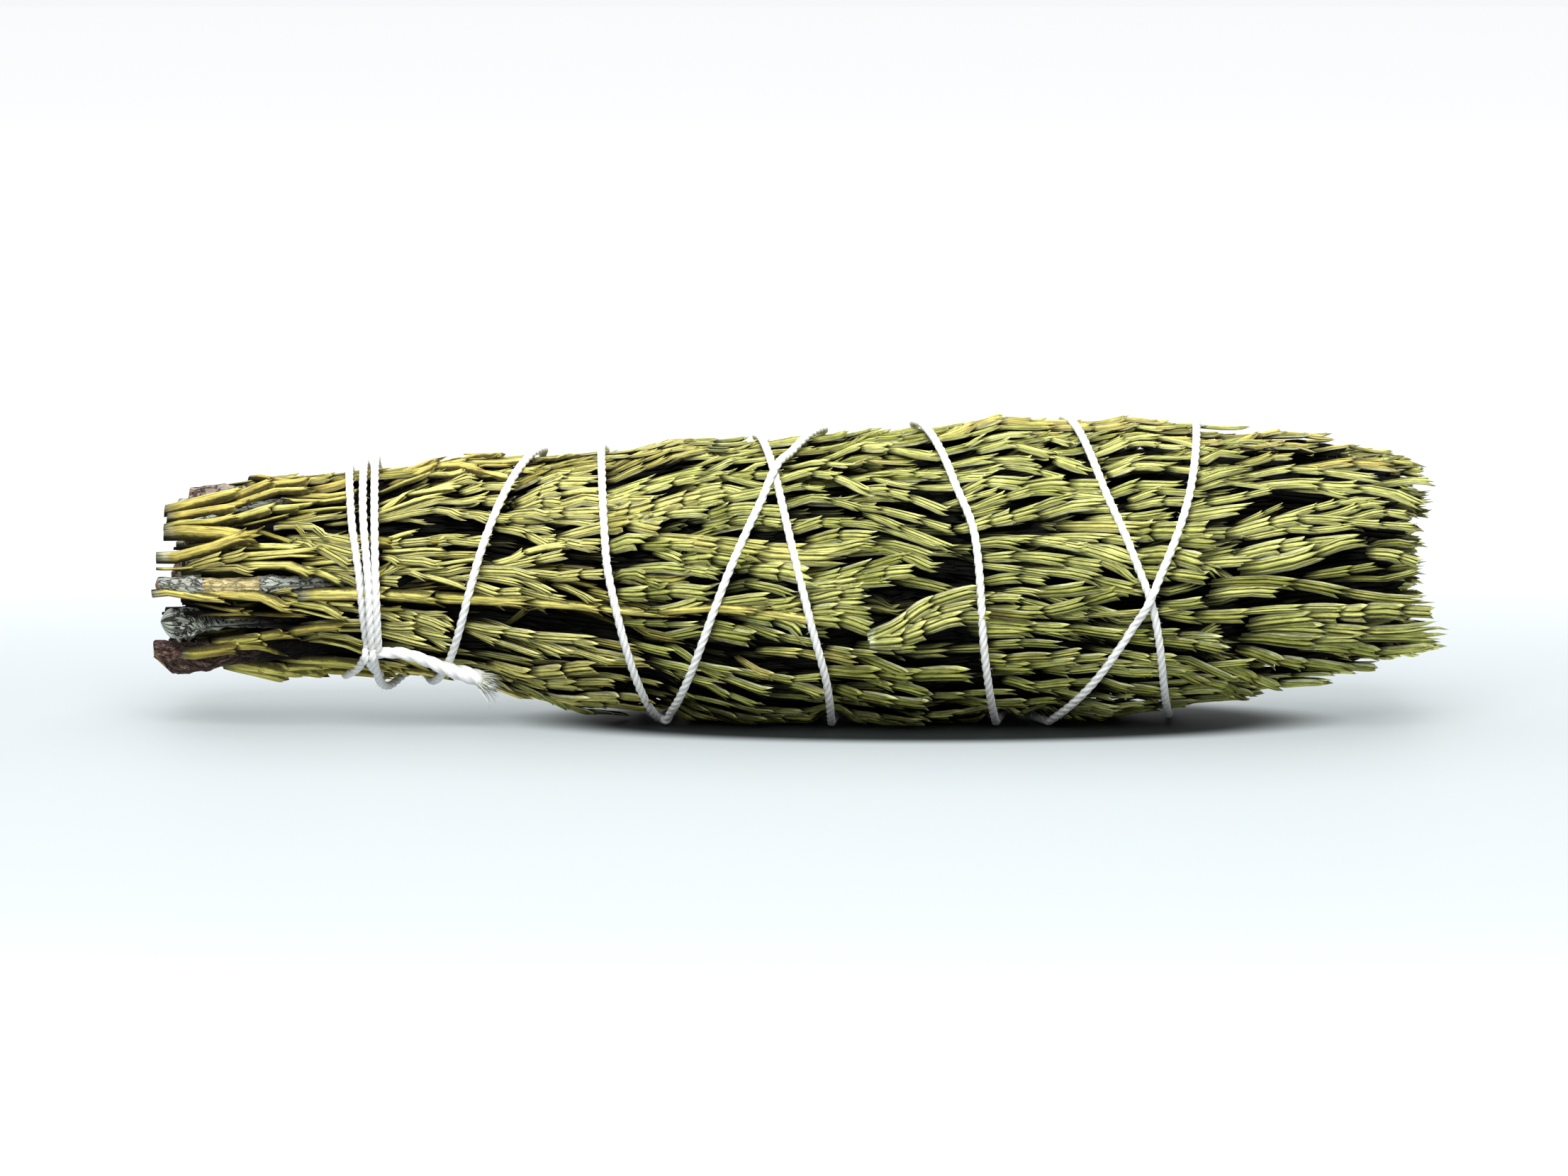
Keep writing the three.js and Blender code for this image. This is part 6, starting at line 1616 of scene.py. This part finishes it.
def string_parts():
    """The winding, the knot's loops, the two ends laid together as the tail, and the fibres."""
    random = np.random.default_rng(7)
    winding = string_points()
    tail = rest_on(np.array([x for angle, x, radius in TAIL]), np.radians([angle for angle, x, radius in TAIL]), -TAIL_OUT, STRING)
    smooth = np.linspace(0, len(tail) - 1, 60)
    tail = np.stack([smooth_through(np.stack([np.arange(len(tail)), tail[:, i]], -1), smooth) for i in range(3)], -1)
    radii = [[i / (len(TAIL) - 1), radius] for i, (angle, x, radius) in enumerate(TAIL)]
    root = tail[0]
    way = tail[8] - root
    way = way / np.linalg.norm(way)
    out = np.array([0, -math.cos(KNOT_ANGLE), math.sin(KNOT_ANGLE)])
    out -= way * (out @ way)
    out /= np.linalg.norm(out)
    across = np.cross(way, out)
    turn = np.linspace(0, 1.5 * TURN, 60)[:, None]
    loops = root + 1.2 * (np.cos(turn) * across + np.sin(turn) * out) + way * (turn / TURN * 1.25 - 0.9)
    loops[:, 2] = np.maximum(loops[:, 2], STRING / 2)
    parts = [
        cord_part(winding, STRING / 2, 5.2),
        cord_part(loops, 0.72, 4.6),
        cord_part(tail, lambda share: smooth_through(radii, share), 8.5, step=0.25, worn=lambda share: smoothstep(share, 0.78, 1)),
    ]
    end = tail[-1]
    along = tail[-1] - tail[-6]
    along = along / np.linalg.norm(along)
    spread = random.normal(0, 1, (110, 3))
    parts.append(fibres(
        end - along * 0.8 + spread * 0.75 * [0.2, 1, 1], along + spread * 0.22 + random.normal(0, 0.12, (110, 3)),
        random.uniform(1.5, 4.8, 110), 0.09, random.uniform(0.5, 1, 110),
    ))
    picked = random.integers(0, len(winding), 1500)
    ways = random.normal(0, 1, (1500, 3))
    ways /= np.linalg.norm(ways, axis=1)[:, None]
    roots = winding[picked] + ways * STRING * 0.42
    keep_up = roots[:, 2] > 1.2
    parts.append(fibres(
        roots[keep_up], ways[keep_up] + random.normal(0, 0.5, (keep_up.sum(), 3)), random.uniform(0.4, 1.1, keep_up.sum()),
        0.022, np.zeros(keep_up.sum()),
    ))
    return merged(parts)


points, faces, looks, lies, rails = string_parts()
string = mesh_object("string", points, faces, cotton, looks, lies)
keep(string, ["string"])

# The floor, the light and the camera.
floor_finish = Finish("white paper")
place_on_floor = floor_finish.object_place()
grain = floor_finish.noise(place_on_floor, 60, 2)
in_front = floor_finish.node("ShaderNodeVectorMath", {"operation": "ADD"}, {0: place_on_floor, 1: (0, 0.08, 0)})
away = floor_finish.node(
    "ShaderNodeVectorMath", {"operation": "LENGTH"}, {0: floor_finish.stretched(in_front, (0.6, 1, 1))}, out="Value",
)
# Painted contact shadow: a dark ellipse on the floor under the belly.
from_contact = floor_finish.node(
    "ShaderNodeVectorMath", {"operation": "LENGTH"},
    {0: floor_finish.stretched(floor_finish.node("ShaderNodeVectorMath", {"operation": "SUBTRACT"}, {0: place_on_floor, 1: (0.022, -0.003, 0)}), (15, 38, 1))},
    out="Value",
)
paper = floor_finish.mix(grain * 0.03, colour(128, 132, 134), colour(122, 126, 129))
# The floor glows with painted light: not under the belly, faintly near the bundle so that its shadows are lighter, and
# strongly far off so that it reads white.
floor_finish.surface(
    floor_finish.mix(floor_finish.step(from_contact, 0.8, 1.1), colour(30, 34, 34), paper),
    0.6, floor_finish.bump(grain, 0.02, 0.0005), Specular_IOR_Level=0.2,
    Emission_Color=floor_finish.mix(
        floor_finish.step(from_contact, 0.8, 1.1), (0, 0, 0, 1),
        floor_finish.mix(floor_finish.step(away, 0.1, 0.45), (0.27, 0.3, 0.31, 1), (0.75, 0.75, 0.75, 1)),
    ),
    Emission_Strength=1.0,
)
SWEEP = [(-4, 0), (1.3, 0), (1.55, 0.02), (1.75, 0.08), (1.9, 0.2), (1.97, 0.4), (2.0, 0.7), (2.0, 2.5)]
floor_points = [(side, y, z) for y, z in SWEEP for side in (-4, 4)]
floor_mesh = bpy.data.meshes.new("floor")
floor_mesh.from_pydata(floor_points, [], [(2 * i, 2 * i + 1, 2 * i + 3, 2 * i + 2) for i in range(len(SWEEP) - 1)])
floor_mesh.materials.append(floor_finish.material)
floor = bpy.data.objects.new("floor", floor_mesh)
bpy.context.scene.collection.objects.link(floor)

world = bpy.data.worlds.new("soft room")
world.use_nodes = True
world.node_tree.nodes["Background"].inputs["Color"].default_value = (0.93, 0.96, 1.0, 1)
world.node_tree.nodes["Background"].inputs["Strength"].default_value = 0.25
bpy.context.scene.world = world


def soft_light(name, place_at, aim, size, power):
    """A square soft box that faces a point."""
    light = bpy.data.lights.new(name, "AREA")
    light.size = size
    light.energy = power
    made = bpy.data.objects.new(name, light)
    made.location = place_at
    direction = np.array(aim) - np.array(place_at)
    flat = math.hypot(direction[0], direction[1])
    made.rotation_euler = (math.atan2(flat, -direction[2]), 0, math.atan2(direction[1], direction[0]) - math.pi / 2)
    bpy.context.scene.collection.objects.link(made)
    return made


soft_light("top light", (0, 0.28, 0.85), (0, 0, 0.02), 1.3, 13.4)
soft_light("front light", (-0.02, -0.55, 0.66), (0, 0, 0.02), 0.6, 13)

ELEVATION = math.radians(7.5)
DISTANCE = 1.466
camera_data = bpy.data.cameras.new("camera")
camera_data.lens = 200
camera_data.sensor_width = 36
camera = bpy.data.objects.new("camera", camera_data)
AIM = (-0.0019, 0, 0.022)
camera.location = (AIM[0], AIM[1] - DISTANCE * math.cos(ELEVATION), AIM[2] + DISTANCE * math.sin(ELEVATION))
camera.rotation_euler = (math.pi / 2 - ELEVATION, 0, 0)
bpy.context.scene.collection.objects.link(camera)
bpy.context.scene.camera = camera
bpy.context.scene.view_settings.view_transform = "Standard"
